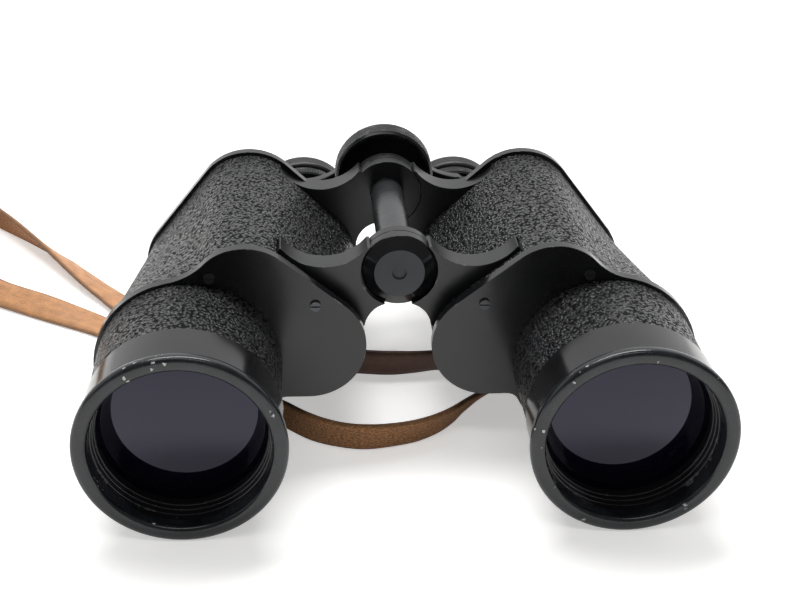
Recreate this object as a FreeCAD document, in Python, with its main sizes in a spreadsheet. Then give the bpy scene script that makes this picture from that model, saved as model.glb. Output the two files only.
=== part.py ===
import FreeCAD, Part
import math
import os
from types import SimpleNamespace

import Sketcher

# Porro prism binoculars with centre focus and a leather neck strap.
# Millimetres. X runs across the pair, Y from the objectives to the eyes, Z up. Each size below is one
# cell of the sheet. A depth is a distance behind the front rims, along Y.

SIZES = [
    ("overall_length", 164.9, "front rims to eyecup rims"),
    ("objective_x", 63.65, "objective axis from the hinge plane"),
    ("hinge_height", 58.0, "hinge axis above the surface"),
    ("hood_radius", 30.0, "objective hood, over its bead; also the height of the objective axis"),
    ("hood_band_radius", 28.5, "hood behind the bead"),
    ("hood_mouth_radius", 25.4, "hood, front opening"),
    ("hood_bead", 4.7, "length of the bead"),
    ("hood_lead", 1.7, "front rim, ahead of the bead's widest line, where depths start"),
    ("hood_length", 18.0, "hood, whole length"),
    ("tube_radius", 27.2, "objective tube, outside"),
    ("tube_wall", 0.95, "objective tube wall"),
    ("tube_front", 6.2, "depth of the tube's front end"),
    ("lens_radius", 25.0, "objective lens"),
    ("lens_depth", 8.6, "depth of the objective's front vertex"),
    ("lens_length", 9.4, "thickness of the cemented pair"),
    ("front_curve", 110.0, "radius of the front lens surface"),
    ("middle_curve", 90.0, "radius of the cemented surface"),
    ("tube_leather", 0.75, "leather on the objective tube"),
    ("leather", 0.8, "leather on the housing"),
    ("glue", 0.15, "gap under the leather"),
    ("cover_front", 45.8, "depth of the front cover's face"),
    ("front_cover_thick", 3.4, "front cover"),
    ("housing_length", 69.1, "prism housing between its covers"),
    ("rear_cover_thick", 3.2, "rear cover"),
    ("housing_wall", 1.6, "housing wall"),
    ("fit", 0.05, "gap between pieces that are fixed together"),
    ("run", 0.06, "radial gap of a shaft that turns or slides"),
    ("play", 0.35, "gap between pieces that pass each other"),
    ("cover_lip", 1.2, "how far the covers stand out past the leather"),
    ("front_barrel", 27.8, "housing section round the objective axis, front"),
    ("rear_barrel", 17.8, "housing section round the objective axis, rear"),
    ("front_sag", 0.5, "how far the section's lower centre lies under the axis, front"),
    ("rear_sag", 8.6, "how far the section's lower centre lies under the axis, rear"),
    ("bump_x", 46.5, "top bump of the housing section"),
    ("bump_z", 52.5, "its height"),
    ("front_bump", 15.7, "its radius, front"),
    ("rear_bump", 17.5, "its radius, rear"),
    ("lobe_x", 27.6, "inner lobe of the housing section"),
    ("lobe_z", 36.4, "its height"),
    ("lobe", 16.4, "its radius"),
    ("valley", 21.0, "hollow between barrel and bump, front"),
    ("corner", 5.0, "hollow between lobe and barrel"),
    ("foot_land", 0.4, "depth of the flat land under the rear cover"),
    ("objective_shift", 27.0, "step of the light path in the rear prism"),
    ("eyepiece_shift", 24.0, "step of the light path in the front prism"),
    ("prism_turn", 40.9, "slant of the rear prism's path from upright, degrees"),
    ("rear_prism_half", 24.0, "half length of the rear prism, its tips ground off"),
    ("rear_prism_width", 25.0, "width of the rear prism"),
    ("front_prism_half", 19.0, "half length of the front prism"),
    ("front_prism_width", 19.5, "width of the front prism"),
    ("prism_ridge", 1.0, "how much is ground off a prism's ridge"),
    ("shelf_depth", 84.0, "depth of the prism shelf"),
    ("shelf_thick", 3.0, "prism shelf"),
    ("clip_thick", 0.6, "prism clip, spring steel"),
    ("clip_width", 7.0, "prism clip"),
    ("hinge_tube_radius", 5.6, "hinge tube, outside"),
    ("spindle_radius", 2.9, "focus spindle"),
    ("lug_radius", 11.5, "hinge rings of the arms"),
    ("arm_length", 8.2, "length of an arm along the hinge"),
    ("front_arm", 53.2, "depth of the front arms"),
    ("rear_arm", 113.2, "depth of the rear arms"),
    ("cap_depth", 51.8, "depth of the hinge cap's face"),
    ("cap_face", 7.65, "radius of the cap's flat face"),
    ("cap_pit", 2.1, "radius of the pit in the middle of the cap"),
    ("cap_length", 2.7, "hinge cap"),
    ("wheel_radius", 17.0, "focus wheel"),
    ("wheel_depth", 127.7, "depth of the wheel's front rim"),
    ("wheel_length", 8.3, "focus wheel rim"),
    ("wheel_hub", 8.0, "radius of the wheel's hub"),
    ("sleeve_radius", 15.0, "ocular sleeve on the rear cover"),
    ("sleeve_length", 12.5, "ocular sleeve behind the cover"),
    ("ocular_radius", 13.4, "ocular tube"),
    ("ocular_wall", 1.2, "ocular tube wall"),
    ("ocular_front", 121.4, "depth of the ocular tube's front end"),
    ("ocular_length", 34.6, "ocular tube"),
    ("bridge_depth", 139.6, "depth of the ocular arms"),
    ("bridge_thick", 4.0, "one ocular arm"),
    ("bridge_ring", 15.6, "ring of the ocular arm"),
    ("bridge_hub", 9.0, "hub of the ocular arm"),
    ("ring_radius", 16.8, "dioptre ring"),
    ("ring_length", 5.0, "dioptre ring"),
    ("eyecup_radius", 17.3, "eyecup rim"),
    ("eyecup_mouth", 11.0, "eyecup opening"),
    ("eye_lens_radius", 10.4, "eye lens"),
    ("screw_radius", 1.0, "cover screws"),
    ("screw_head", 1.6, "radius of a screw's head"),
    ("screw_length", 8.0, "front cover screws under their heads"),
    ("rear_screw_length", 7.0, "rear cover screws under their heads"),
    ("strap_lug_depth", 109.0, "depth of the strap lugs"),
    ("strap_width", 10.5, "neck strap"),
    ("strap_thick", 1.8, "neck strap"),
]

# Places of the cover screws, right side: x and height.
SCREWS = [(25.5, 50.5), (56.8, 60.0)]
REAR_SCREWS = [(43.0, 24.3), (46.6, 66.5), (66.0, 7.6)]

doc = FreeCAD.newDocument("binoculars")


class Dim:
    """A number and the expression that gives it from the sheet."""

    def __init__(self, value, text):
        self.value = value
        self.text = text

    def joined(self, other, sign, value):
        return Dim(value, f"({self.text} {sign} {dim(other).text})")

    def __add__(self, other):
        return self.joined(other, "+", self.value + dim(other).value)

    def __sub__(self, other):
        return self.joined(other, "-", self.value - dim(other).value)

    def __mul__(self, other):
        return self.joined(other, "*", self.value * dim(other).value)

    def __truediv__(self, other):
        return self.joined(other, "/", self.value / dim(other).value)

    def __neg__(self):
        return self * -1


def dim(number):
    return number if isinstance(number, Dim) else Dim(float(number), repr(float(number)))


def sine(angle):
    return Dim(math.sin(math.radians(angle.value)), f"sin({angle.text} * 1deg)")


def cosine(angle):
    return Dim(math.cos(math.radians(angle.value)), f"cos({angle.text} * 1deg)")


def make_sheet():
    sheet = doc.addObject("Spreadsheet::Sheet", "Sizes")
    for row, (alias, value, meaning) in enumerate(SIZES, start=1):
        sheet.set(f"A{row}", meaning)
        sheet.set(f"B{row}", str(value))
        sheet.setAlias(f"B{row}", alias)
    doc.recompute()
    return SimpleNamespace(**{alias: Dim(value, f"Sizes.{alias}") for alias, value, _ in SIZES})


S = make_sheet()


def depth(distance):
    """The place along Y of a depth behind the front beads' widest line; the origin is halfway along the pair."""
    return dim(distance) + S.hood_lead - S.overall_length / 2


def bind(obj, **sizes):
    for name, size in sizes.items():
        obj.setExpression(name.replace("_", "."), dim(size).text)
    return obj


def place(obj, x=0, y=0, z=0):
    obj.setExpression("Placement.Base.x", dim(x).text)
    obj.setExpression("Placement.Base.y", dim(y).text)
    obj.setExpression("Placement.Base.z", dim(z).text)
    return obj


def add(kind, name):
    obj = doc.addObject(kind, "Piece")
    obj.Label = name
    return obj


ALONG_Y = FreeCAD.Placement(FreeCAD.Vector(), FreeCAD.Rotation(FreeCAD.Vector(1, 0, 0), -90))
UPRIGHT = FreeCAD.Placement(FreeCAD.Vector(), FreeCAD.Rotation(FreeCAD.Vector(1, 0, 0), 90))


def rod(name, x, z, radius, start, length):
    """A cylinder along Y from the depth start."""
    obj = add("Part::Cylinder", name)
    obj.Placement = ALONG_Y
    bind(obj, Radius=radius, Height=length)
    return place(obj, x, depth(start), z)


def ball(name, x, z, radius, centre):
    """A ball with its centre at a depth."""
    obj = add("Part::Sphere", name)
    bind(obj, Radius=radius)
    return place(obj, x, depth(centre), z)


def block(name, low, size):
    """A box from its lowest corner, whose Y is a depth."""
    obj = add("Part::Box", name)
    bind(obj, Length=size[0], Width=size[1], Height=size[2])
    return place(obj, low[0], depth(low[1]), low[2])


def cut(name, base, *tools):
    for number, tool in enumerate(tools, start=1):
        obj = add("Part::Cut", name if number == len(tools) else f"{name} cut {number}")
        obj.Base = base
        obj.Tool = tool
        base = obj
    return base


def fuse(name, *shapes):
    obj = add("Part::MultiFuse", name)
    obj.Shapes = list(shapes)
    return obj


def common(name, *shapes):
    obj = add("Part::MultiCommon", name)
    obj.Shapes = list(shapes)
    return obj


def extrude(name, sketch, length):
    obj = add("Part::Extrusion", name)
    obj.Base = sketch
    obj.DirMode = "Custom"
    obj.Dir = FreeCAD.Vector(0, 1, 0)
    obj.Solid = True
    return bind(obj, LengthFwd=length)


def loft(name, front, rear):
    obj = add("Part::Loft", name)
    obj.Sections = [front, rear]
    obj.Solid = True
    obj.Ruled = True
    return obj


def constrain(sketch, kind, where, size):
    """A size in a sketch, bound to the sheet."""
    number = sketch.addConstraint(Sketcher.Constraint(kind, *where, dim(size).value))
    sketch.setExpression(f"Constraints[{number}]", dim(size).text)


def pin_point(sketch, edge, end, x, y):
    constrain(sketch, "DistanceX", (-1, 1, edge, end), x)
    constrain(sketch, "DistanceY", (-1, 1, edge, end), y)


def polygon(sketch, points):
    """A closed outline of straight edges through points of a sketch."""
    corners = [FreeCAD.Vector(dim(x).value, dim(y).value, 0) for x, y in points]
    for start, end in zip(corners, corners[1:] + corners[:1]):
        sketch.addGeometry(Part.LineSegment(start, end))
    for edge, (x, y) in enumerate(points):
        after = (edge - 1) % len(points)
        sketch.addConstraint(Sketcher.Constraint("Coincident", after, 2, edge, 1))
        pin_point(sketch, edge, 1, x, y)
    return sketch


def section(name, start):
    """An upright sketch across the pair at a depth: its x is X and its y is Z."""
    obj = add("Sketcher::SketchObject", name)
    obj.Placement = UPRIGHT
    return place(obj, 0, depth(start), 0)


def flat_sketch(body, role):
    sketch = body.newObject("Sketcher::SketchObject", "Profile")
    plane = next(f for f in body.Origin.OriginFeatures if f.Role == role)
    sketch.AttachmentSupport = [(plane, "")]
    sketch.MapMode = "FlatFace"
    return sketch


def turned(name, x, z, profile):
    """A body turned about an axis along Y. The profile's points are (radius, depth)."""
    body = add("PartDesign::Body", name)
    sketch = flat_sketch(body, "XY_Plane")
    polygon(sketch, [(radius, depth(along)) for radius, along in profile])
    spun = body.newObject("PartDesign::Revolution", "Turned")
    spun.Profile = sketch
    spun.ReferenceAxis = (sketch, ["V_Axis"])
    spun.Angle = 360
    return place(body, x, 0, z)


# ---- the housing's section ----


def round_of(x, z, radius, turn, pinned=True):
    return SimpleNamespace(x=dim(x), z=dim(z), radius=dim(radius), turn=turn, pinned=pinned)


def where_they_meet(one, other, reach_one, reach_other):
    """The point at two distances from two rounds' centres, on the right of the way between them."""
    across = other.x.value - one.x.value
    up = other.z.value - one.z.value
    apart = math.hypot(across, up)
    along = (reach_one**2 - reach_other**2 + apart**2) / (2 * apart)
    aside = math.sqrt(reach_one**2 - along**2)
    x = one.x.value + (along * across + aside * up) / apart
    z = one.z.value + (along * up - aside * across) / apart
    return x, z


def housing_rounds(end, grow):
    """The right housing's section at one end, offset by grow, anticlockwise, with how each joins the next."""
    grow = dim(grow)
    barrel = S.front_barrel if end == "front" else S.rear_barrel
    bump = S.front_bump if end == "front" else S.rear_bump
    sag = S.front_sag if end == "front" else S.rear_sag
    upper = round_of(S.objective_x, S.hood_radius, barrel + grow, 1)
    top = round_of(S.bump_x, S.bump_z, bump + grow, 1)
    inner = round_of(S.lobe_x, S.lobe_z, S.lobe + grow, 1)
    lower = round_of(S.objective_x, S.hood_radius - sag, barrel + grow, 1)
    corner = S.corner - grow
    corner_z = inner.z.value - inner.radius.value - corner.value
    reach = lower.radius.value + corner.value
    corner_x = lower.x.value - math.sqrt(reach**2 - (lower.z.value - corner_z) ** 2)
    hollow = round_of(corner_x, corner_z, corner, -1, pinned=False)
    rest = [top, inner, hollow, lower]
    joins = ["line", "level", "touch", "line"]
    if end == "rear":
        return [upper] + rest, ["line"] + joins
    valley = S.valley - grow
    x, z = where_they_meet(upper, top, (upper.radius + valley).value, (top.radius + valley).value)
    return [upper, round_of(x, z, valley, -1, pinned=False)] + rest, ["touch", "touch"] + joins


def mirrored(rounds, joins):
    left = [round_of(-r.x, r.z, r.radius, r.turn, r.pinned) for r in reversed(rounds)]
    return left, joins[-2::-1] + joins[-1:]


def tangent_points(one, other):
    """Where the line that leaves one round and enters the other touches each."""
    across = other.x.value - one.x.value
    up = other.z.value - one.z.value
    offset = other.turn * other.radius.value - one.turn * one.radius.value
    angle = math.atan2(up, across) - math.asin(offset / math.hypot(across, up))
    left = (-math.sin(angle), math.cos(angle))
    return tuple(
        (r.x.value - r.turn * r.radius.value * left[0], r.z.value - r.turn * r.radius.value * left[1])
        for r in (one, other)
    )


def touch_points(one, other):
    across = other.x.value - one.x.value
    up = other.z.value - one.z.value
    reach = one.radius.value / math.hypot(across, up)
    point = (one.x.value + across * reach, one.z.value + up * reach)
    return point, point


def draw_outline(sketch, rounds, joins):
    """Arcs joined by tangent lines, or touching, all bound to the sheet."""
    count = len(rounds)
    meets = []
    for i, join in enumerate(joins):
        find = touch_points if join == "touch" else tangent_points
        meets.append(find(rounds[i], rounds[(i + 1) % count]))
    arcs = []
    for i, r in enumerate(rounds):
        entry, leave = meets[i - 1][1], meets[i][0]
        angles = [math.atan2(p[1] - r.z.value, p[0] - r.x.value) for p in (entry, leave)]
        circle = Part.Circle(FreeCAD.Vector(r.x.value, r.z.value, 0), FreeCAD.Vector(0, 0, 1), r.radius.value)
        first, last = angles if r.turn > 0 else reversed(angles)
        arcs.append(sketch.addGeometry(Part.ArcOfCircle(circle, first, last)))
        constrain(sketch, "Radius", (arcs[-1],), r.radius)
        if r.pinned:
            pin_point(sketch, arcs[-1], 3, r.x, r.z)
    for i, join in enumerate(joins):
        after = (i + 1) % count
        leave = (arcs[i], 2 if rounds[i].turn > 0 else 1)
        entry = (arcs[after], 1 if rounds[after].turn > 0 else 2)
        if join == "touch":
            sketch.addConstraint(Sketcher.Constraint("Tangent", *leave, *entry))
            continue
        ends = [FreeCAD.Vector(x, z, 0) for x, z in meets[i]]
        line = sketch.addGeometry(Part.LineSegment(*ends))
        sketch.addConstraint(Sketcher.Constraint("Tangent", *leave, line, 1))
        sketch.addConstraint(Sketcher.Constraint("Tangent", line, 2, *entry))
        if join == "level":
            sketch.addConstraint(Sketcher.Constraint("Horizontal", line))
    return sketch


def housing_section(name, side, end, grow, start):
    rounds, joins = housing_rounds(end, grow)
    if side < 0:
        rounds, joins = mirrored(rounds, joins)
    return draw_outline(section(name, start), rounds, joins)


def housing_front():
    return S.cover_front + S.front_cover_thick


def housing_rear():
    return housing_front() + S.housing_length


def housing_solid(name, side, grow):
    """The solid inside one surface of the tapering housing, between its covers."""
    front = housing_section(f"{name} front", side, "front", grow, housing_front() + S.fit)
    rear = housing_section(f"{name} rear", side, "rear", grow, housing_rear() - S.fit)
    return loft(name, front, rear)


# ---- objective group ----


def objective(word, side):
    x = S.objective_x * side
    z = S.hood_radius
    bore = S.tube_radius - S.tube_wall
    seat = S.lens_radius + S.fit
    back = S.lens_depth + S.lens_length
    hood_inside = S.tube_radius + S.fit
    turned(
        f"objective_hood_{word}", x, z,
        [
            (S.hood_mouth_radius, S.hood_bead / 3 - S.hood_lead),
            (S.hood_mouth_radius + S.hood_bead / 4, S.hood_lead * -1),
            (S.hood_radius - S.hood_bead / 4, S.hood_lead * -1),
            (S.hood_radius, S.hood_bead / 4 - S.hood_lead),
            (S.hood_radius, S.hood_bead / 2 - S.hood_lead),
            (S.hood_band_radius, S.hood_bead - S.hood_lead),
            (S.hood_band_radius, S.hood_length),
            (hood_inside, S.hood_length),
            (hood_inside, S.tube_front - S.fit),
            (S.hood_mouth_radius, S.tube_front - S.fit),
        ],
    )
    turned(
        f"objective_tube_{word}", x, z,
        [
            (bore, S.tube_front),
            (S.tube_radius, S.tube_front),
            (S.tube_radius, housing_front()),
            (bore, housing_front()),
        ],
    )
    turned(
        f"tube_leather_{word}", x, z,
        [
            (hood_inside, S.hood_length + S.fit),
            (hood_inside + S.tube_leather, S.hood_length + S.fit),
            (hood_inside + S.tube_leather, S.cover_front - S.fit),
            (hood_inside, S.cover_front - S.fit),
        ],
    )
    turned(
        f"objective_cell_{word}", x, z,
        [
            (seat, S.lens_depth + S.fit),
            (bore - S.fit, S.lens_depth + S.fit),
            (bore - S.fit, back + 2),
            (S.lens_radius - 0.8, back + 2),
            (S.lens_radius - 0.8, back + S.fit),
            (seat, back + S.fit),
        ],
    )
    lens_pair(word, x, z, back)
    edge = S.front_curve.value - math.sqrt(S.front_curve.value**2 - S.lens_radius.value**2)
    turned(
        f"objective_ring_{word}", x, z,
        [
            (S.lens_radius - 0.8, S.lens_depth + 0.4),
            (S.lens_radius, S.lens_depth + 0.4),
            (S.lens_radius, S.lens_depth + 0.9 * edge),
            (S.lens_radius - 0.8, S.lens_depth + 0.9 * edge),
        ],
    )


def lens_pair(word, x, z, back):
    """A crown element cemented to a flint element."""
    middle = S.lens_depth + S.lens_length * 0.85
    front = S.lens_depth
    blank = rod(f"crown blank {word}", x, z, S.lens_radius, front, S.lens_length)
    outer = ball(f"crown front {word}", x, z, S.front_curve, front + S.front_curve)
    inner = ball(f"crown back {word}", x, z, S.middle_curve, middle - S.middle_curve)
    common(f"crown_lens_{word}", blank, outer, inner)
    seam = front + S.lens_length / 3
    other = rod(f"flint blank {word}", x, z, S.lens_radius, seam, back - seam)
    hollow = ball(f"flint hollow {word}", x, z, S.middle_curve + S.fit, middle - S.middle_curve)
    cut(f"flint_lens_{word}", other, hollow)


# ---- prism housing, its arms, covers and leather ----


def hinge_rod(name, radius, start, length):
    return rod(name, 0, S.hinge_height, radius, start, length)


def arm_solid(name, side, start, grow):
    """One arm's web, from the hinge to the housing, with its hollow edges, grown all round by grow."""
    z = S.hinge_height
    grow = dim(grow)
    start = start - grow
    length = S.arm_length + grow * 2
    points = [
        (dim(0), z + grow),
        (dim(0), z - 11 - grow),
        (dim(11), z - 19 - grow),
        (dim(20), z - 22 - grow),
        (dim(40) + grow, z + 2),
        (dim(36) + grow, z + 8 + grow),
        (dim(9), z + 8 + grow),
    ]
    if side < 0:
        points = [(-x, y) for x, y in reversed(points)]
    web = extrude(f"{name} web", polygon(section(f"{name} outline", start), points), length)
    over = rod(f"{name} upper hollow", dim(22.7) * side, z + 18, dim(16.4) - grow * 3, start - 1, length + 2)
    under = rod(f"{name} lower hollow", dim(1.5) * side, z - 19.5, dim(8.8) - grow, start - 1, length + 2)
    return cut(name, web, over, under)


def hinge_arm(name, side, start, rings_start):
    """An arm that ends in a hinge ring. The left half's ring fills the front of the room for rings."""
    rings_end = start + S.arm_length
    middle = (rings_start + rings_end) / 2
    before, behind = middle - S.play / 2, middle + S.play / 2
    mine, theirs = (rings_start, before), (behind, rings_end)
    if side > 0:
        mine, theirs = theirs, mine
    web = arm_solid(f"{name} web", side, start, 0)
    room_start = theirs[0] - S.play if side < 0 else start - 1
    room_end = rings_end + 1 if side < 0 else theirs[1] + S.play
    room = hinge_rod(f"{name} other ring", S.lug_radius + S.play, room_start, room_end - room_start)
    cap_room = hinge_rod(f"{name} cap room", S.lug_radius + S.play, start - 1, rings_start - start + 1)
    own = hinge_rod(f"{name} ring", S.lug_radius, mine[0], mine[1] - mine[0])
    return fuse(name, cut(f"{name} notched", web, room, cap_room), own)


def screw_places(side, places):
    return [(dim(x) * side, dim(z)) for x, z in places]


def screw_bosses(word, side):
    """Bosses inside the housing for the cover screws, at both ends."""
    bosses = []
    for x, z in screw_places(side, SCREWS):
        label = f"front boss {word} {len(bosses)}"
        bosses.append(rod(label, x, z, S.screw_radius + 1.3, housing_front() + S.fit, 9))
    for x, z in screw_places(side, REAR_SCREWS):
        start = housing_rear() - S.fit - 5
        bosses.append(rod(f"rear boss {word} {len(bosses)}", x, z, S.screw_radius + 1.3, start, 5))
    return bosses


def screw_holes(name, side, places, start, length):
    holes = []
    for x, z in screw_places(side, places):
        holes.append(rod(f"{name} {len(holes)}", x, z, S.screw_radius + S.fit, start, length))
    return fuse(name, *holes)


def turn_about_y(obj, angle):
    obj.Placement = FreeCAD.Placement(FreeCAD.Vector(), FreeCAD.Rotation(FreeCAD.Vector(0, 1, 0), 1))
    obj.setExpression("Placement.Rotation.Angle", angle.text)
    return obj


def light_path(side):
    """The middle axis between the two prisms and the eyepiece axis: (x, z) of each."""
    across, up = sine(S.prism_turn), cosine(S.prism_turn)
    middle_x = S.objective_x - S.objective_shift * across
    middle_z = S.hood_radius + S.objective_shift * up
    eye_x = middle_x - S.eyepiece_shift * up
    eye_z = middle_z - S.eyepiece_shift * across
    return (middle_x * side, middle_z), (eye_x * side, eye_z)


def housing(word, side):
    name = f"prism_housing_{word}"
    outside = S.leather + S.glue
    (middle_x, middle_z), (eye_x, eye_z) = light_path(side)
    shell = housing_solid(f"{name} outside", side, -outside)
    room = housing_solid(f"{name} room", side, -(outside + S.housing_wall))
    shelf_zone = housing_solid(f"{name} shelf outline", side, -(outside + S.housing_wall / 2))
    slab_start = (S.objective_x * -2, S.shelf_depth, dim(-9))
    slab = block(f"{name} slab", slab_start, (S.objective_x * 4, S.shelf_thick, dim(99)))
    shelf = common(f"{name} shelf", shelf_zone, slab)
    bosses = common(f"{name} bosses", fuse(f"{name} all bosses", *screw_bosses(word, side)), shelf_zone)
    front_arm = hinge_arm(f"{name} front arm", side, S.front_arm, S.cap_depth + S.cap_length + S.fit)
    rear_arm = hinge_arm(f"{name} rear arm", side, S.rear_arm, S.rear_arm)
    lip = S.cover_lip + S.fit * 2
    cover = housing_section(f"{name} cover outline", side, "rear", lip, housing_rear() - S.fit)
    cover_room = extrude(f"{name} cover room", cover, S.rear_cover_thick + 5)
    arms = cut(f"{name} arms", fuse(f"{name} both arms", front_arm, rear_arm), cover_room)
    hollow = cut(f"{name} hollow", fuse(f"{name} blank", shell, arms), room)
    filled = fuse(f"{name} filled", hollow, shelf, bosses)
    windows = [
        rod(
            f"{name} window {word} 1", S.objective_x * side, S.hood_radius, 11.5,
            S.shelf_depth - 1, S.shelf_thick + 2,
        ),
        rod(f"{name} window {word} 2", middle_x, middle_z, 8.5, S.shelf_depth - 1, S.shelf_thick + 2),
        rod(f"{name} window {word} 3", eye_x, eye_z, 8.5, S.shelf_depth - 1, S.shelf_thick + 2),
    ]
    bore = hinge_rod(f"{name} bore", S.hinge_tube_radius + S.run, S.front_arm - 1, S.rear_arm + S.arm_length)
    front_holes = screw_holes(f"{name} front holes", side, SCREWS, housing_front() - 1, S.screw_length + 1.5)
    rear_start = housing_rear() - 5.5
    rear_holes = screw_holes(f"{name} rear holes", side, REAR_SCREWS, rear_start, dim(7))
    return cut(name, filled, *windows, bore, front_holes, rear_holes)


def lug_block(name, side, grow):
    """The strap lug's block, before it is fitted to the housing's side."""
    grow = dim(grow)
    low_x = S.objective_x + S.rear_barrel * 0.75
    width = S.strap_width + 4.6
    start = low_x - grow if side > 0 else -(low_x + 12.6 + grow)
    low = (start, S.strap_lug_depth - width / 2 - grow, dim(14) - grow)
    return block(name, low, (dim(12.6) + grow * 2, width + grow * 2, dim(4) + grow * 2))


def strap_lug(word, side):
    name = f"strap_lug_{word}"
    body = lug_block(f"{name} block", side, 0)
    middle = housing_solid(f"{name} housing", side, -S.leather)
    slot_x = S.objective_x + S.rear_barrel + 2.8
    slot = block(
        f"{name} slot",
        (slot_x if side > 0 else -(slot_x + 2.6), S.strap_lug_depth - S.strap_width / 2 - S.play, dim(0)),
        (dim(2.6), S.strap_width + S.play * 2, dim(40)),
    )
    return cut(name, body, middle, slot)


def body_leather(word, side):
    name = f"body_leather_{word}"
    outer = housing_solid(f"{name} outside", side, 0)
    inner = housing_solid(f"{name} inside", side, -S.leather)
    front = arm_solid(f"{name} front arm", side, S.front_arm, S.play)
    rear = arm_solid(f"{name} rear arm", side, S.rear_arm, S.play)
    lug = lug_block(f"{name} lug", side, S.play)
    ring_front = hinge_rod(f"{name} front ring", S.lug_radius + S.play, S.front_arm, S.arm_length)
    ring_rear = hinge_rod(f"{name} rear ring", S.lug_radius + S.play, S.rear_arm, S.arm_length)
    return cut(name, outer, inner, front, rear, lug, ring_front, ring_rear)


def front_cover(word, side):
    name = f"front_cover_{word}"
    outline = housing_section(f"{name} outline", side, "front", S.cover_lip, S.cover_front)
    plate = extrude(f"{name} plate", outline, S.front_cover_thick)
    hole = rod(
        f"{name} hole", S.objective_x * side, S.hood_radius, S.tube_radius + S.fit,
        S.cover_front - 1, S.front_cover_thick + 2,
    )
    screws = screw_holes(f"{name} screw holes", side, SCREWS, S.cover_front - 1, S.front_cover_thick + 2)
    return cut(name, plate, hole, screws)


def rear_cover(word, side):
    name = f"rear_cover_{word}"
    start = housing_rear()
    _, (eye_x, eye_z) = light_path(side)
    outline = housing_section(f"{name} outline", side, "rear", S.cover_lip, start)
    plate = extrude(f"{name} plate", outline, S.rear_cover_thick)
    foot_radius = S.hood_radius - S.rear_sag - S.foot_land
    foot = rod(
        f"{name} foot", S.objective_x * side, foot_radius - S.foot_land, foot_radius,
        start, S.rear_cover_thick,
    )
    sleeve = rod(f"{name} sleeve", eye_x, eye_z, S.sleeve_radius, start, S.rear_cover_thick + S.sleeve_length)
    land_start = (S.objective_x * -2, start - 1, dim(-20))
    below = block(f"{name} land", land_start, (S.objective_x * 4, dim(40), dim(20)))
    bore = rod(
        f"{name} bore", eye_x, eye_z, S.ocular_radius + S.run,
        start - 1, S.rear_cover_thick + S.sleeve_length + 2,
    )
    screws = screw_holes(f"{name} screw holes", side, REAR_SCREWS, start - 1, S.rear_cover_thick + 2)
    return cut(name, fuse(f"{name} blank", plate, foot, sleeve), below, bore, screws)


def cover_screws(name, side, places, face, toward, length):
    """Slotted screws through a cover. toward is +1 for screws that go towards the eyes, -1 the other way."""
    parts = []
    for number, (x, z) in enumerate(screw_places(side, places)):
        label = f"{name} {number}"
        shank_start = face if toward > 0 else face - length
        head_start = face - 0.9 if toward > 0 else face
        slot_start = face - 1 if toward > 0 else face + 0.5
        shank = rod(f"{label} shank", x, z, S.screw_radius, shank_start, length)
        head = rod(f"{label} head", x, z, S.screw_head, head_start, 0.9)
        corner = (x - S.screw_head, slot_start, z - 0.25)
        slot = block(f"{label} slot", corner, (S.screw_head * 2, dim(0.5), dim(0.5)))
        parts.append(cut(label, fuse(f"{label} blank", shank, head), slot))
    return fuse(name, *parts)


# ---- prisms ----


def across_prism(name, centre, slant, points, width, seat):
    """A body cut from one profile: along a prism and away from its seat, as wide as width."""
    body = add("PartDesign::Body", name)
    sketch = flat_sketch(body, "XY_Plane")
    polygon(sketch, points)
    pad = body.newObject("PartDesign::Pad", "Width")
    pad.Profile = sketch
    pad.Midplane = True
    bind(pad, Length=width)
    turn_about_y(body, slant)
    return place(body, centre[0], depth(seat), centre[1])


def roof_prism(name, centre, slant, height, half, width, seat, away):
    """A right-angle prism with ground tips and ridge; away is +1 when it points to the eyes."""
    ridge = S.prism_ridge
    points = [
        (-half, dim(0)),
        (half, dim(0)),
        (half, (height - half) * away),
        (ridge, (height - ridge) * away),
        (-ridge, (height - ridge) * away),
        (-half, (height - half) * away),
    ]
    return across_prism(name, centre, slant, points, width, seat)


def prism_clip(name, centre, slant, height, width, seat, away):
    """A spring strip bent over a prism's ridge, with its legs on the shelf."""
    body = add("PartDesign::Body", name)
    sketch = flat_sketch(body, "YZ_Plane")
    inner = width / 2 + S.fit
    outer = inner + S.clip_thick
    top = (height - S.prism_ridge + S.fit) * away
    over = top + S.clip_thick * away
    polygon(
        sketch,
        [(dim(0), outer), (over, outer), (over, -outer), (dim(0), -outer),
         (dim(0), -inner), (top, -inner), (top, inner), (dim(0), inner)],
    )
    pad = body.newObject("PartDesign::Pad", "Width")
    pad.Profile = sketch
    pad.Midplane = True
    bind(pad, Length=S.clip_width)
    turn_about_y(body, slant)
    return place(body, centre[0], depth(seat), centre[1])


def prisms(word, side):
    (middle_x, middle_z), (eye_x, eye_z) = light_path(side)
    # The rear prism lies along the line from the objective axis to the middle one.
    rear_slant = (dim(90) - S.prism_turn) * side
    front_slant = -S.prism_turn * side
    rear_centre = ((S.objective_x * side + middle_x) / 2, (S.hood_radius + middle_z) / 2)
    front_centre = ((eye_x + middle_x) / 2, (eye_z + middle_z) / 2)
    rear_seat = S.shelf_depth + S.shelf_thick + S.fit
    front_seat = S.shelf_depth - S.fit
    roof_prism(
        f"objective_prism_{word}", rear_centre, rear_slant,
        S.objective_shift, S.rear_prism_half, S.rear_prism_width, rear_seat, 1,
    )
    roof_prism(
        f"eyepiece_prism_{word}", front_centre, front_slant,
        S.eyepiece_shift, S.front_prism_half, S.front_prism_width, front_seat, -1,
    )
    clips = [
        prism_clip(
            f"rear clip {word}", rear_centre, rear_slant, S.objective_shift, S.rear_prism_width,
            rear_seat, 1,
        ),
        prism_clip(
            f"front clip {word}", front_centre, front_slant, S.eyepiece_shift, S.front_prism_width,
            front_seat, -1,
        ),
    ]
    fuse(f"prism_clips_{word}", *clips)


# ---- hinge and focus ----


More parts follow.
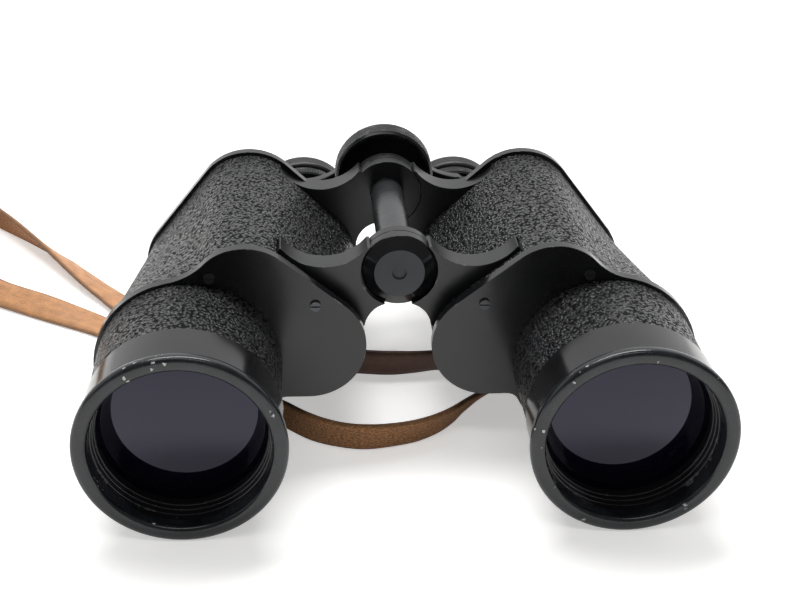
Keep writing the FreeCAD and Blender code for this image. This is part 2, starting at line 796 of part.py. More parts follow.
def hinge():
    tube_front = S.cap_depth + S.cap_length + S.fit
    tube_rear = S.rear_arm + S.arm_length + 4.8
    blank = hinge_rod("hinge tube blank", S.hinge_tube_radius, tube_front, tube_rear - tube_front)
    bore = hinge_rod("hinge tube bore", S.spindle_radius + S.run, tube_front - 1, tube_rear)
    cut("hinge_tube", blank, bore)
    turned(
        "hinge_cap", 0, S.hinge_height,
        [
            (dim(0), S.cap_depth + 0.8),
            (S.cap_pit, S.cap_depth + 0.8),
            (S.cap_pit, S.cap_depth),
            (S.cap_face, S.cap_depth),
            (S.lug_radius, S.cap_depth + S.cap_length - 0.3),
            (S.lug_radius, S.cap_depth + S.cap_length),
            (S.spindle_radius, S.cap_depth + S.cap_length),
            (S.spindle_radius, S.cap_depth + S.cap_length + 6),
            (dim(0), S.cap_depth + S.cap_length + 6),
        ],
    )


def focus_drive():
    hub_front = S.rear_arm + S.arm_length + 0.4
    tube_end = S.rear_arm + S.arm_length + 4.8 + S.play
    wheel_rear = S.wheel_depth + S.wheel_length
    outer = S.hinge_tube_radius + S.run
    turned(
        "focus_wheel", 0, S.hinge_height,
        [
            (outer, hub_front),
            (S.wheel_hub, hub_front),
            (S.wheel_hub, S.wheel_depth + 2.2),
            (S.wheel_radius - 1.8, S.wheel_depth + 2.2),
            (S.wheel_radius - 1.8, S.wheel_depth),
            (S.wheel_radius - 0.4, S.wheel_depth),
            (S.wheel_radius, S.wheel_depth + 0.4),
            (S.wheel_radius, wheel_rear - 0.4),
            (S.wheel_radius - 0.4, wheel_rear),
            (S.spindle_radius + S.run, wheel_rear),
            (S.spindle_radius + S.run, tube_end),
            (outer, tube_end),
        ],
    )
    spindle_end = S.bridge_depth + S.bridge_thick * 2 + S.play
    blank = hinge_rod("focus spindle blank", S.spindle_radius, 92, spindle_end - 92)
    hole = hinge_rod("focus spindle hole", S.fit + 1.5, spindle_end - 9, 10)
    cut("focus_spindle", blank, hole)
    shank = hinge_rod("bridge screw shank", 1.5, spindle_end - 8, S.play + 8)
    head = hinge_rod("bridge screw head", 6.0, spindle_end + S.play, 2.4)
    slot_corner = (dim(-7), spindle_end + S.play + 1.6, S.hinge_height - 0.5)
    slot = block("bridge screw slot", slot_corner, (dim(14), dim(2), dim(1)))
    cut("bridge_screw", fuse("bridge screw blank", shank, head), slot)


def ocular_arm(word, side):
    """One half of the bridge; the right arm's hub lies behind the left one's."""
    name = f"ocular_arm_{word}"
    _, (eye_x, eye_z) = light_path(side)
    start = S.bridge_depth if side < 0 else S.bridge_depth + S.bridge_thick + S.play / 2
    ring = rod(f"{name} ring", eye_x, eye_z, S.bridge_ring, start, S.bridge_thick)
    hub = hinge_rod(f"{name} hub", S.bridge_hub, start, S.bridge_thick)
    corners = [(dim(-4) * side, S.hinge_height - 7), (eye_x + dim(4) * side, eye_z - 10),
               (eye_x + dim(6) * side, eye_z + 13), (dim(4) * side, S.hinge_height + 8)]
    blade = extrude(f"{name} blade", polygon(section(f"{name} outline", start), corners), S.bridge_thick)
    scoop = rod(f"{name} scoop", dim(28.9) * side, S.hinge_height + 15.2, 22, start - 1, S.bridge_thick + 2)
    web = cut(f"{name} web", blade, scoop)
    bore = rod(f"{name} bore", eye_x, eye_z, S.ocular_radius + S.fit, start - 1, S.bridge_thick + 2)
    hole = hinge_rod(f"{name} hole", S.spindle_radius + S.run, start - 1, S.bridge_thick + 2)
    return cut(name, fuse(f"{name} blank", ring, hub, web), bore, hole)


def ocular(word, side):
    _, (x, z) = light_path(side)
    front = S.ocular_front
    rear = front + S.ocular_length
    bore = S.ocular_radius - S.ocular_wall
    turned(
        f"ocular_tube_{word}", x, z,
        [(bore, front), (S.ocular_radius, front), (S.ocular_radius, rear), (bore, rear)],
    )
    blank = rod(f"field lens blank {word}", x, z, bore - S.fit, front + 5, 4.5)
    curve = ball(f"field lens curve {word}", x, z, 32, front + 5 + 32)
    common(f"field_lens_{word}", blank, curve)
    ring_front = S.bridge_depth + S.bridge_thick * 2 + 1.2
    ring_rear = ring_front + S.ring_length
    ring_name = "dioptre_ring_right" if side > 0 else "ocular_ring_left"
    turned(
        ring_name, x, z,
        [
            (S.ocular_radius + S.run, ring_front),
            (S.ring_radius - 0.5, ring_front),
            (S.ring_radius, ring_front + 0.5),
            (S.ring_radius, ring_rear - 0.5),
            (S.ring_radius - 0.5, ring_rear),
            (S.ocular_radius + S.run, ring_rear),
        ],
    )
    cell_rear = rear + 1.4
    lens_seat = S.eye_lens_radius + S.fit
    turned(
        f"eye_lens_cell_{word}", x, z,
        [
            (S.eye_lens_radius - 0.8, cell_rear - 10),
            (bore - S.run, cell_rear - 10),
            (bore - S.run, cell_rear),
            (lens_seat, cell_rear),
            (lens_seat, cell_rear - 6),
            (S.eye_lens_radius - 0.8, cell_rear - 6),
        ],
    )
    eye_blank = rod(f"eye lens blank {word}", x, z, S.eye_lens_radius, cell_rear - 6 + S.fit, 4.8)
    eye_curve = ball(f"eye lens curve {word}", x, z, 38, cell_rear - 1.2 + S.fit - 38)
    common(f"eye_lens_{word}", eye_blank, eye_curve)
    cup_step = cell_rear + 1.7
    rims = S.overall_length - S.hood_lead
    turned(
        f"eyecup_{word}", x, z,
        [
            (S.ocular_radius + S.run, ring_rear + S.fit),
            (S.ring_radius - 1.0, ring_rear + S.fit),
            (S.ring_radius - 1.0, ring_rear + 2.2),
            (S.eyecup_radius, ring_rear + 3.2),
            (S.eyecup_radius, rims - 1),
            (S.eyecup_radius - 1, rims),
            (S.eyecup_radius - 1.8, rims),
            (S.eyecup_mouth + 0.6, cup_step + 1.4),
            (S.eyecup_mouth, cup_step + 1.2),
            (S.eyecup_mouth, cup_step),
            (S.ocular_radius + S.run, cup_step),
        ],
    )


# ---- neck strap ----
# Points of the strap's middle line on the surface, in mm from the front rims: x, depth and height.

STRAP_LEFT = [
    (-86.3, 109.0, 12.6), (-87.5, 121.0, 5.5), (-91.0, 135.0, 1.4), (-99.5, 149.0, 1.0), (-109.8, 163.0, 1.0),
    (-123.0, 180.0, 1.0), (-138.2, 199.0, 1.0), (-152.0, 216.0, 1.0), (-166.0, 229.0, 1.0),
]
STRAP_RIGHT = [
    (-152.0, 150.0, 1.0), (-138.0, 144.6, 1.0), (-119.0, 133.6, 1.0), (-100.0, 122.2, 1.0),
    (-80.0, 106.5, 1.0),
    (-62.0, 88.0, 1.0), (-47.0, 70.0, 1.0), (-32.5, 54.5, 1.0), (-17.0, 45.2, 1.0), (1.0, 44.6, 1.0),
    (15.0, 53.5, 1.0), (26.0, 67.0, 1.0), (39.5, 79.0, 1.0), (55.0, 89.0, 1.0), (70.0, 95.5, 1.0),
    (79.5, 99.0, 3.0), (86.5, 103.5, 12.6),
]
STRAP_TAIL = [
    (86.5, 114.6, 12.6), (79.5, 112.0, 3.0), (69.0, 110.0, 1.0), (53.0, 105.6, 1.0), (37.0, 99.0, 1.0),
    (18.0, 92.6, 1.0), (-4.0, 91.0, 1.0), (-26.0, 94.0, 1.0), (-45.0, 101.0, 1.0),
]
ROLL_CENTRE = (-193.0, 200.0)
ROLL_RADIUS = 34.0
ROLL_HOLE = 24.0


def strap_path(name, points):
    """Straight runs joined by tangent arcs through a route; prints the arcs' radii."""
    route = [FreeCAD.Vector(x, y + S.hood_lead.value - S.overall_length.value / 2, z) for x, y, z in points]
    edges = []
    radii = []
    at = route[0]
    for before, corner, after in zip(route, route[1:], route[2:]):
        back = (before - corner).normalize()
        ahead = (after - corner).normalize()
        shorter = min((before - corner).Length, (after - corner).Length)
        reach = 0.45 * shorter
        half_turn = (math.pi - back.getAngle(ahead)) / 2
        radius = reach / math.tan(half_turn)
        radii.append(round(radius, 1))
        start = corner + back * reach
        end = corner + ahead * reach
        inward = (back + ahead).normalize()
        middle = corner + inward * (radius / math.cos(half_turn) - radius)
        edges.append(Part.LineSegment(at, start).toShape())
        edges.append(Part.Arc(start, middle, end).toShape())
        at = end
    edges.append(Part.LineSegment(at, route[-1]).toShape())
    print(name, "arc radii", radii)
    return Part.Wire(edges)


def strap_run(name, points):
    """A flat strip that keeps its width level along a route."""
    path = strap_path(name, points)
    edge = path.Edges[0]
    start = edge.valueAt(edge.FirstParameter)
    ahead = edge.tangentAt(edge.FirstParameter)
    up = FreeCAD.Vector(0, 0, 1)
    side = ahead.cross(up).normalize()
    half_width = side * (S.strap_width.value / 2)
    half_thick = up * (S.strap_thick.value / 2)
    corners = [start + half_width + half_thick, start - half_width + half_thick,
               start - half_width - half_thick, start + half_width - half_thick]
    sweep = Part.BRepOffsetAPI.MakePipeShell(path)
    sweep.setBiNormalMode(up)
    sweep.add(Part.makePolygon(corners + corners[:1]))
    sweep.build()
    sweep.makeSolid()
    shape = sweep.shape()
    asked = S.strap_width.value * S.strap_thick.value * path.Length
    print(name, "length", round(path.Length, 1), "volume ratio", round(shape.Volume / asked, 4))
    obj = add("Part::Feature", name)
    obj.Shape = shape
    obj.Placement = FreeCAD.Placement()
    return obj


def neck_strap():
    strap_run("neck_strap_left_run", STRAP_LEFT)
    strap_run("neck_strap_right_run", STRAP_RIGHT)
    strap_run("neck_strap_tail", STRAP_TAIL)
    x, y = ROLL_CENTRE
    blank = rod("neck strap roll blank", 0, 0, ROLL_RADIUS, 0, S.strap_width)
    blank.Placement = FreeCAD.Placement()
    place(blank, x, depth(dim(y)), 0)
    hole = rod("neck strap roll hole", 0, 0, ROLL_HOLE, 0, S.strap_width * 3)
    hole.Placement = FreeCAD.Placement()
    place(hole, x, depth(dim(y)), -S.strap_width)
    cut("neck_strap_roll", blank, hole)


def build():
    for word, side in (("left", -1), ("right", 1)):
        objective(word, side)
        front_cover(word, side)
        cover_screws(f"front_cover_screws_{word}", side, SCREWS, S.cover_front, 1, S.screw_length)
        housing(word, side)
        body_leather(word, side)
        strap_lug(word, side)
        rear_cover(word, side)
        rear_face = housing_rear() + S.rear_cover_thick
        cover_screws(f"rear_cover_screws_{word}", side, REAR_SCREWS, rear_face, -1, S.rear_screw_length)
        prisms(word, side)
        ocular(word, side)
        ocular_arm(word, side)
    hinge()
    focus_drive()
    neck_strap()
    doc.recompute()


def kept():
    """The sub-parts: what no other object is made from, outside the bodies."""
    kinds = ("Part::", "PartDesign::Body")
    found = []
    for obj in doc.Objects:
        if not obj.TypeId.startswith(kinds) or obj.getParentGeoFeatureGroup():
            continue
        users = [user for user in obj.InList if user.TypeId != "Spreadsheet::Sheet"]
        if not users:
            found.append(obj)
    return found


def write():
    faults = [f"{o.Label}: {o.State}" for o in doc.Objects if "Invalid" in o.State or "Error" in o.State]
    parts = kept()
    for obj in parts:
        if obj.Shape.isNull() or not obj.Shape.isValid() or not obj.Shape.Solids:
            faults.append(f"{obj.Label}: its shape is empty or not valid")
    if faults:
        raise RuntimeError("\n".join(faults))
    os.makedirs("parts", exist_ok=True)
    for obj in parts:
        obj.Shape.exportStep(f"parts/{obj.Label}.step")
    print(len(parts), "sub-parts written")


build()
write()
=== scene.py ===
"""Looks of a folding pair of porro prism binoculars with a leather neck strap."""

import math
from types import SimpleNamespace

import bpy
from mathutils import Matrix, Vector


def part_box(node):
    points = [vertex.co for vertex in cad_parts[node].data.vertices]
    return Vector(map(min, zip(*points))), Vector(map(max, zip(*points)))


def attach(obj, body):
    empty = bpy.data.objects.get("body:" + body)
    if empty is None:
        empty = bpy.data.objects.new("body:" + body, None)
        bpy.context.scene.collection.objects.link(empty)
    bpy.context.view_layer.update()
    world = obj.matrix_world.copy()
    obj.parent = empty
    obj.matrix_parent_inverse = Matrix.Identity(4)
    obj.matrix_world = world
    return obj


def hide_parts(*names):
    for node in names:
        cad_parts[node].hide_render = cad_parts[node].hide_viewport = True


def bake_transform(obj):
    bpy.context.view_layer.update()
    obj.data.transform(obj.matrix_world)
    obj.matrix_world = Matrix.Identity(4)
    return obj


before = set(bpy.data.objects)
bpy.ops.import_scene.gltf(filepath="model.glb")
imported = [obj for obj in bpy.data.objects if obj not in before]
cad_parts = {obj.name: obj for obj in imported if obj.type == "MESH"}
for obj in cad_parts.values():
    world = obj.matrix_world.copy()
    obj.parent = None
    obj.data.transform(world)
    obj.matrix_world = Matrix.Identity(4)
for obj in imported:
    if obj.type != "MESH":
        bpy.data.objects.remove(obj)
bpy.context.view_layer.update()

bl_info = {
    "name": "Prism Binoculars",
    "version": (1, 0, 0),
    "blender": (4, 5, 0),
    "location": "3D View > Sidebar > Binoculars",
    "description": "Finishes, turned and knurled pieces and the neck strap of a pair of binoculars",
    "category": "Object",
}

MM = 0.001
SIDES = ("left", "right")
RIM_LEAD = 1.7 * MM  # how far the front rims stand ahead of the beads' widest line
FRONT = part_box("objective_hood_left")[0].y + RIM_LEAD
TUBE_BORE = 13.48 * MM  # radius of the bore of what is fitted round an ocular tube
GLASS_IOR = 1.52
DUST = (0.5, 0.5, 0.55, 1)
SAME_PLACE = 1e-6  # points nearer than this, in metres, count as one


def at(x, depth, z):
    """A point in metres from millimetres; depth is counted back from the widest line of the front beads."""
    return Vector((x * MM, FRONT + depth * MM, z * MM))


def round_node(node):
    """The axis, radius and ends of a round node that lies along Y."""
    low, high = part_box(node)
    return SimpleNamespace(
        x=(low.x + high.x) / 2,
        z=(low.z + high.z) / 2,
        radius=(high.x - low.x) / 2,
        front=low.y,
        rear=high.y,
    )


HINGE = round_node("hinge_tube")


# ---- sizes and colours ----


def length(value, name, description):
    """A length that a user can set, in metres."""
    return bpy.props.FloatProperty(
        name=name, description=description, default=value, subtype="DISTANCE", unit="LENGTH", precision=5
    )


def colour(value, name, description):
    """A colour that a user can set."""
    return bpy.props.FloatVectorProperty(
        name=name, description=description, default=(*value, 1.0), size=4, subtype="COLOR", min=0.0, max=1.0
    )


def power(value, name, description):
    """The power of a light that a user can set, in watts."""
    return bpy.props.FloatProperty(name=name, description=description, default=value, unit="POWER")


class FinishColours(bpy.types.PropertyGroup):
    leatherette: colour((0.012, 0.0125, 0.0135), "Leatherette", "Pebbled covering of the housings and tubes")
    enamel: colour((0.0045, 0.0048, 0.0055), "Enamel", "Satin black on covers, arms and housings")
    enamel_worn: colour((0.30, 0.31, 0.32), "Worn edge", "Bare metal on worn edges")
    bead: colour((0.006, 0.007, 0.0085), "Hood bead", "Rubbed black of the hoods' front beads")
    cap_face: colour((0.028, 0.031, 0.036), "Cap face", "Matt grey of the hinge cap's flat face")
    coating: colour((0.80, 0.76, 1.0), "Lens coating", "Tint of what the coated glass mirrors")
    strap_smooth: colour((0.58, 0.27, 0.105), "Strap, smooth side", "Tan grain side of the strap")
    strap_rough: colour((0.42, 0.20, 0.08), "Strap, rough side", "Brown suede side of the strap")
    tail_smooth: colour((0.12, 0.042, 0.018), "Strap tail", "Dark brown of the strap's tail")


class PieceSizes(bpy.types.PropertyGroup):
    edge: length(0.5 * MM, "Edge bevel", "Rounding of cast and turned edges")
    fine_edge: length(0.15 * MM, "Fine bevel", "Rounding of small edges")
    pebble: length(0.95 * MM, "Pebble", "Width of one pebble of the leatherette")
    knurl: length(0.22 * MM, "Knurl depth", "Height of the knurling's points")
    strap_width: length(10.4 * MM, "Strap width", "Width of the neck strap")
    strap_thickness: length(1.7 * MM, "Strap thickness", "Thickness of the neck strap")


class StageSettings(bpy.types.PropertyGroup):
    lens: bpy.props.FloatProperty(
        name="Lens", description="Focal length of the camera on a 36 mm sensor", default=65.585, unit="CAMERA"
    )
    floor: colour((0.90, 0.895, 0.885), "Floor", "Colour of the surface")
    top_light: power(13.0, "Top light", "Power of the large top light")
    front_light: power(2.0, "Front light", "Power of the front light")
    side_light: power(1.2, "Side light", "Power of each side light")
    world: bpy.props.FloatProperty(
        name="World", description="Strength of the surroundings' light on the camera's side", default=0.16
    )


def colours():
    return bpy.context.scene.binocular_colours


def sizes():
    return bpy.context.scene.binocular_sizes


def stage_settings():
    return bpy.context.scene.binocular_stage


# ---- materials ----


class Maker:
    """Adds shader nodes to a new material and links them."""

    def __init__(self, name):
        self.material = bpy.data.materials.new(name)
        self.material.use_nodes = True
        self.tree = self.material.node_tree
        self.shader = self.tree.nodes["Principled BSDF"]

    def add(self, kind, settings=None, **inputs):
        made = self.tree.nodes.new("ShaderNode" + kind)
        for key, value in (settings or {}).items():
            setattr(made, key, value)
        for key, value in inputs.items():
            self.give(made, key.replace("_", " "), value)
        return made

    def give(self, made, key, value):
        """Links or sets an input, named by its label or as i and its number."""
        socket = made.inputs[int(key[1:])] if key[0] == "i" and key[1:].isdigit() else made.inputs[key]
        if isinstance(value, bpy.types.NodeSocket):
            self.tree.links.new(value, socket)
        else:
            socket.default_value = value

    def set(self, **inputs):
        """Gives the material's own shader its inputs."""
        for key, value in inputs.items():
            self.give(self.shader, key.replace("_", " "), value)

    def coordinates(self, kind="Object"):
        return self.add("TexCoord").outputs[kind]

    def scaled(self, vector, scale):
        return self.add("Mapping", Vector=vector, Scale=scale).outputs[0]

    def noise(self, vector, scale, detail=3.0, roughness=0.5):
        made = self.add("TexNoise", Vector=vector, Scale=scale, Detail=detail, Roughness=roughness)
        return made.outputs["Fac"]

    def range(self, value, low, high, to_low=0.0, to_high=1.0):
        made = self.add(
            "MapRange", i0=value, From_Min=low, From_Max=high, To_Min=to_low, To_Max=to_high
        )
        return made.outputs[0]

    def math(self, operation, a, b=0.0):
        return self.add("Math", {"operation": operation}, i0=a, i1=b).outputs[0]

    def mix(self, factor, a, b):
        made = self.add("Mix", {"data_type": "RGBA"})
        self.give(made, "i0", factor)
        self.give(made, "i6", a)
        self.give(made, "i7", b)
        return made.outputs[2]

    def bump(self, height, distance, strength=1.0):
        return self.add("Bump", Height=height, Distance=distance, Strength=strength).outputs[0]

    def worn_edges(self, radius, coordinates, scale=260.0, amount=0.55):
        """1 on rubbed edges and 0 elsewhere, broken up by noise."""
        rounded = self.add("Bevel", {"samples": 6}, Radius=radius).outputs[0]
        flat = self.add("NewGeometry").outputs["Normal"]
        dot = self.add("VectorMath", {"operation": "DOT_PRODUCT"}, i0=rounded, i1=flat).outputs["Value"]
        edge = self.range(dot, 0.985, 0.90)
        patches = self.range(self.noise(coordinates, scale, 4.0, 0.6), amount - 0.07, amount + 0.07)
        return self.math("MULTIPLY", edge, patches)


def leatherette():
    """Black covering pressed with a fine irregular pebble, with painted shade in its grooves and painted
    highlights on its pebbles' tops.
    """
    m = Maker("Black leatherette")
    where = m.coordinates()
    pebble = sizes().pebble
    drift = m.add("TexNoise", Vector=where, Scale=0.9 / pebble, Detail=2.0).outputs["Color"]
    centred = m.add("VectorMath", {"operation": "SUBTRACT"}, i0=drift, i1=(0.5, 0.5, 0.5)).outputs[0]
    shift = m.add("VectorMath", {"operation": "SCALE"}, i0=centred, Scale=pebble * 0.8).outputs[0]
    warped = m.add("VectorMath", {"operation": "ADD"}, i0=where, i1=shift).outputs[0]
    cells = m.add(
        "TexVoronoi", {"feature": "SMOOTH_F1"}, Vector=warped, Scale=1.0 / pebble, Smoothness=0.15
    ).outputs["Distance"]
    dome = m.range(cells, 0.15, 0.75, 1.0, 0.0)
    fine = m.noise(where, 4.5 / pebble, 2.0)
    height = m.math("ADD", dome, m.math("MULTIPLY", fine, 0.25))
    patches = m.noise(where, 45.0, 3.0)
    tint = colours().leatherette
    # painted shade: the grooves between the pebbles are darkened to a fifth of the tint
    grooves = m.mix(dome, (tint[0] * 0.2, tint[1] * 0.2, tint[2] * 0.2, 1), tuple(tint))
    # painted highlight: the pebbles' tops are made about twice as light as the tint
    highlit_tops = (tint[0] * 2.1, tint[1] * 2.1, tint[2] * 2.2, 1)
    # random patches choose between the painted shade in the grooves and the painted highlights on the tops
    base = m.mix(m.range(patches, 0.35, 0.75, 0.0, 0.6), grooves, m.mix(dome, tuple(tint), highlit_tops))
    m.set(
        Base_Color=base,
        Roughness=m.range(dome, 0.0, 0.8, 0.6, 0.24),
        Specular_IOR_Level=m.range(dome, 0.15, 0.8, 0.05, 1.1),
        Normal=m.bump(height, pebble * 0.5, 1.0),
    )
    return m.material


def enamel(name="Satin black enamel", roughness=0.36, wear=0.60, tint=None, edge=0.5 * MM):
    """Sprayed black metal that shows bright where its edges are rubbed."""
    m = Maker(name)
    where = m.coordinates()
    worn = m.worn_edges(edge, where, amount=wear)
    cloud = m.noise(where, 60.0, 3.0)
    grain = m.noise(where, 2600.0, 2.0)
    dark = tuple(tint or colours().enamel)
    pale = tuple(min(1.0, c * 1.35) for c in dark[:3]) + (1,)
    paint = m.mix(m.range(cloud, 0.3, 0.7), dark, pale)
    m.set(
        Base_Color=m.mix(worn, paint, tuple(colours().enamel_worn)),
        Metallic=m.math("MULTIPLY", worn, 0.9),
        Roughness=m.range(cloud, 0.3, 0.7, roughness - 0.03, roughness + 0.05),
        Normal=m.bump(grain, 0.02 * MM, 0.35),
    )
    return m.material


def chipped_bead():
    """Black gloss rubbed grey on the bead, with small pale chips, and deep black behind it."""
    m = Maker("Hood enamel")
    where = m.coordinates()
    depth = m.add("SeparateXYZ", Vector=where).outputs["Y"]
    on_bead = m.range(depth, FRONT + 2.9 * MM, FRONT + 2.5 * MM)
    on_crown = m.range(depth, FRONT + 1.2 * MM, FRONT - 1.0 * MM)
    cloud = m.noise(where, 130.0, 4.0, 0.6)
    rubbed = m.mix(m.range(cloud, 0.35, 0.7), tuple(colours().bead), (0.018, 0.021, 0.025, 1))
    band = m.mix(m.range(cloud, 0.3, 0.7), (0.006, 0.006, 0.0065, 1), (0.010, 0.010, 0.011, 1))
    coat = m.mix(on_bead, band, rubbed)
    stretched = m.scaled(where, (1.0, 2.2, 1.0))
    spots = m.add("TexVoronoi", {"feature": "F1"}, Vector=stretched, Scale=420.0, Randomness=1.0)
    jitter = m.range(m.noise(where, 1500.0, 2.0), 0.2, 0.8, -0.2, 0.2)
    ragged = m.math("ADD", spots.outputs["Distance"], jitter)
    close = m.range(ragged, 0.22, 0.16)
    rare = m.range(m.noise(where, 95.0, 2.0), 0.59, 0.63)
    chips = m.math("MULTIPLY", m.math("MULTIPLY", close, rare), on_crown)
    pits = m.math("ADD", m.math("MULTIPLY", chips, -1.0), m.math("MULTIPLY", cloud, 0.2))
    m.set(
        Base_Color=m.mix(chips, coat, (0.62, 0.62, 0.60, 1)),
        Roughness=m.math("ADD", m.range(on_bead, 0.0, 1.0, 0.13, 0.20), m.math("MULTIPLY", cloud, 0.06)),
        Normal=m.bump(pits, 0.05 * MM),
    )
    return m.material


def turned_metal(name, tint, roughness, ring_scale=2600.0, metallic=0.0, shine=0.5):
    """Metal with the fine rings that a lathe leaves along its depth."""
    m = Maker(name)
    where = m.coordinates()
    rings = m.noise(m.scaled(where, (0.02, 1.0, 0.02)), ring_scale, 2.0)
    cloud = m.noise(where, 90.0, 3.0)
    pale = tuple(min(1.0, c * 1.5) for c in tint[:3]) + (1,)
    m.set(
        Base_Color=m.mix(m.range(cloud, 0.35, 0.65), tuple(tint), pale),
        Roughness=m.range(rings, 0.3, 0.7, roughness - 0.05, roughness + 0.07),
        Normal=m.bump(rings, 0.015 * MM, 0.5),
    )
    m.shader.inputs["Metallic"].default_value = metallic
    m.shader.inputs["Specular IOR Level"].default_value = shine
    return m.material


def glass(name, tint, coating):
    """Optical glass whose mirror image takes the colour of its coating."""
    m = Maker(name)
    where = m.coordinates()
    dust = m.range(m.noise(where, 900.0, 2.0, 0.6), 0.70, 0.78, 0.0, 0.25)
    m.set(Base_Color=m.mix(dust, tint, DUST), Roughness=m.math("MULTIPLY", dust, 0.25))
    m.shader.inputs["Transmission Weight"].default_value = 1.0
    m.shader.inputs["IOR"].default_value = GLASS_IOR
    m.shader.inputs["Specular Tint"].default_value = coating
    return m.material


def opaque_shaded_glass(name, painted_tube_shade, coating):
    """Coated glass made opaque: its colour is painted in for the blackened tube behind it, partly that tube's
    own black and partly painted shade, with a clear tinted mirror image.
    """
    m = Maker(name)
    dust = m.range(m.noise(m.coordinates(), 1400.0, 2.0, 0.6), 0.72, 0.76, 0.0, 0.06)
    # painted shade: the near-black of the tube behind the glass is given as the glass's own colour
    m.set(Base_Color=m.mix(dust, painted_tube_shade, DUST))
    m.shader.inputs["Roughness"].default_value = 0.015
    m.shader.inputs["IOR"].default_value = GLASS_IOR
    m.shader.inputs["Specular Tint"].default_value = coating
    return m.material


def strap_leather(name, smooth, rough):
    """Strap leather: grain on one side, suede on the other, told apart by the piece's own attribute."""
    m = Maker(name)
    where = m.coordinates("UV")
    facing = m.add("Attribute", {"attribute_name": "grain_side"}).outputs["Fac"]
    grain_side = m.range(facing, 0.45, 0.55)
    along = m.scaled(where, (1.0, 2.0, 1.0))
    mottled = m.noise(along, 160.0, 5.0, 0.65)
    fibres = m.noise(m.scaled(where, (1.0, 1.4, 1.0)), 2300.0, 3.0, 0.7)
    pores = m.add("TexVoronoi", {"feature": "F1"}, Vector=where, Scale=1700.0).outputs["Distance"]
    across = m.add("SeparateXYZ", Vector=where).outputs["Y"]
    rim = m.range(m.math("ABSOLUTE", across), 0.40 * sizes().strap_width, 0.50 * sizes().strap_width)
    smooth, rough = tuple(smooth), tuple(rough)

    def shade(tint, factor):
        return tuple(c * factor for c in tint[:3]) + (1,)

    grain = m.mix(m.range(mottled, 0.35, 0.68), shade(smooth, 0.70), shade(smooth, 1.12))
    tufts = m.noise(along, 950.0, 3.0, 0.7)
    fuzz = m.math("ADD", m.math("MULTIPLY", fibres, 0.4), m.math("MULTIPLY", tufts, 0.6))
    nap = m.mix(m.range(fuzz, 0.40, 0.62), shade(rough, 0.35), shade(rough, 1.9))
    face = m.mix(grain_side, nap, grain)
    pitted = m.math("ADD", pores, m.math("MULTIPLY", mottled, 0.7))
    relief = m.mix(grain_side, m.math("MULTIPLY", fibres, 2.2), pitted)
    m.set(
        Base_Color=m.mix(m.math("MULTIPLY", rim, 0.75), face, shade(rough, 0.35)),
        Roughness=m.range(grain_side, 0.0, 1.0, 0.92, 0.55),
        Normal=m.bump(relief, 0.12 * MM, 0.8),
    )
    m.shader.inputs["Sheen Weight"].default_value = 0.12
    m.shader.inputs["Sheen Roughness"].default_value = 0.6
    return m.material


MATERIALS = {}


def make_materials():
    """Makes every finish, under the short name that the pieces use for it."""
    tints = colours()
    MATERIALS.update(
        leatherette=leatherette(),
        enamel=enamel(roughness=0.20),
        arm=enamel("Satin black casting", 0.30, 0.62),
        hood=chipped_bead(),
        satin=enamel("Satin black turned", 0.24, 0.60, edge=0.3 * MM),
        gloss=enamel("Gloss black", 0.14, 0.66, tint=(0.007, 0.007, 0.008, 1), edge=0.25 * MM),
        cap_face=turned_metal("Matt cap face", tints.cap_face, 0.48),
        inner=turned_metal("Blackened inner metal", (0.004, 0.004, 0.0045, 1), 0.5, 1500.0, shine=0.15),
        steel=turned_metal("Blackened steel", (0.05, 0.052, 0.056, 1), 0.30, 2600.0, 0.7),
        shaft=turned_metal("Black shaft", (0.022, 0.023, 0.025, 1), 0.25),
        ebonite=enamel("Black ebonite", 0.34, 0.80, tint=(0.010, 0.010, 0.011, 1)),
        # the crown and eye lenses are opaque, coloured with the painted shade of the tube behind them
        coated=opaque_shaded_glass("Coated glass", (0.0015, 0.0018, 0.006, 1), tuple(tints.coating)),
        optical=glass("Optical glass", (0.96, 0.98, 0.97, 1), (1.0, 1.0, 1.0, 1)),
        strap=strap_leather("Tan strap leather", tints.strap_smooth, tints.strap_rough),
        tail=strap_leather("Brown strap leather", tints.tail_smooth, (0.13, 0.055, 0.025, 1)),
    )


# The finish of each node that keeps its own mesh, and of both sides' nodes of that name.
NODE_FINISH = {
    "body_leather": "leatherette",
    "tube_leather": "leatherette",
    "objective_tube": "inner",
    "objective_cell": "inner",
    "objective_ring": "inner",
    "crown_lens": "coated",
    "flint_lens": "optical",
    "objective_prism": "optical",
    "eyepiece_prism": "optical",
    "prism_clips": "steel",
    "ocular_tube": "shaft",
    "field_lens": "optical",
    "eye_lens": "coated",
    "eye_lens_cell": "inner",
    "front_cover_screws": "steel",
    "rear_cover_screws": "steel",
    "hinge_tube": "shaft",
    "focus_spindle": "shaft",
    "bridge_screw": "satin",
}


# ---- modelling helpers ----


def only(piece):
    """Selects one object alone and makes it the active one."""
    if bpy.context.mode != "OBJECT":
        bpy.ops.object.mode_set(mode="OBJECT")
    bpy.ops.object.select_all(action="DESELECT")
    piece.select_set(True)
    bpy.context.view_layer.objects.active = piece


def edit(piece, kind="FACE"):
    """Opens one object in edit mode with nothing selected."""
    only(piece)
    bpy.ops.object.mode_set(mode="EDIT")
    bpy.ops.mesh.select_mode(type=kind)
    bpy.ops.mesh.select_all(action="DESELECT")


def leave():
    """Goes back from edit mode to object mode."""
    bpy.ops.object.mode_set(mode="OBJECT")


def select_where(piece, test, kind="polygons"):
    """Selects a piece's faces, edges or vertices for which test is true, from edit mode."""
    leave()
    for element in getattr(piece.data, kind):
        element.select = bool(test(element))
    bpy.ops.object.mode_set(mode="EDIT")


def outward_normals():
    """Turns the faces of the piece in edit mode outwards, and goes back to object mode."""
    bpy.ops.mesh.select_all(action="SELECT")
    bpy.ops.mesh.normals_make_consistent(inside=False)
    leave()


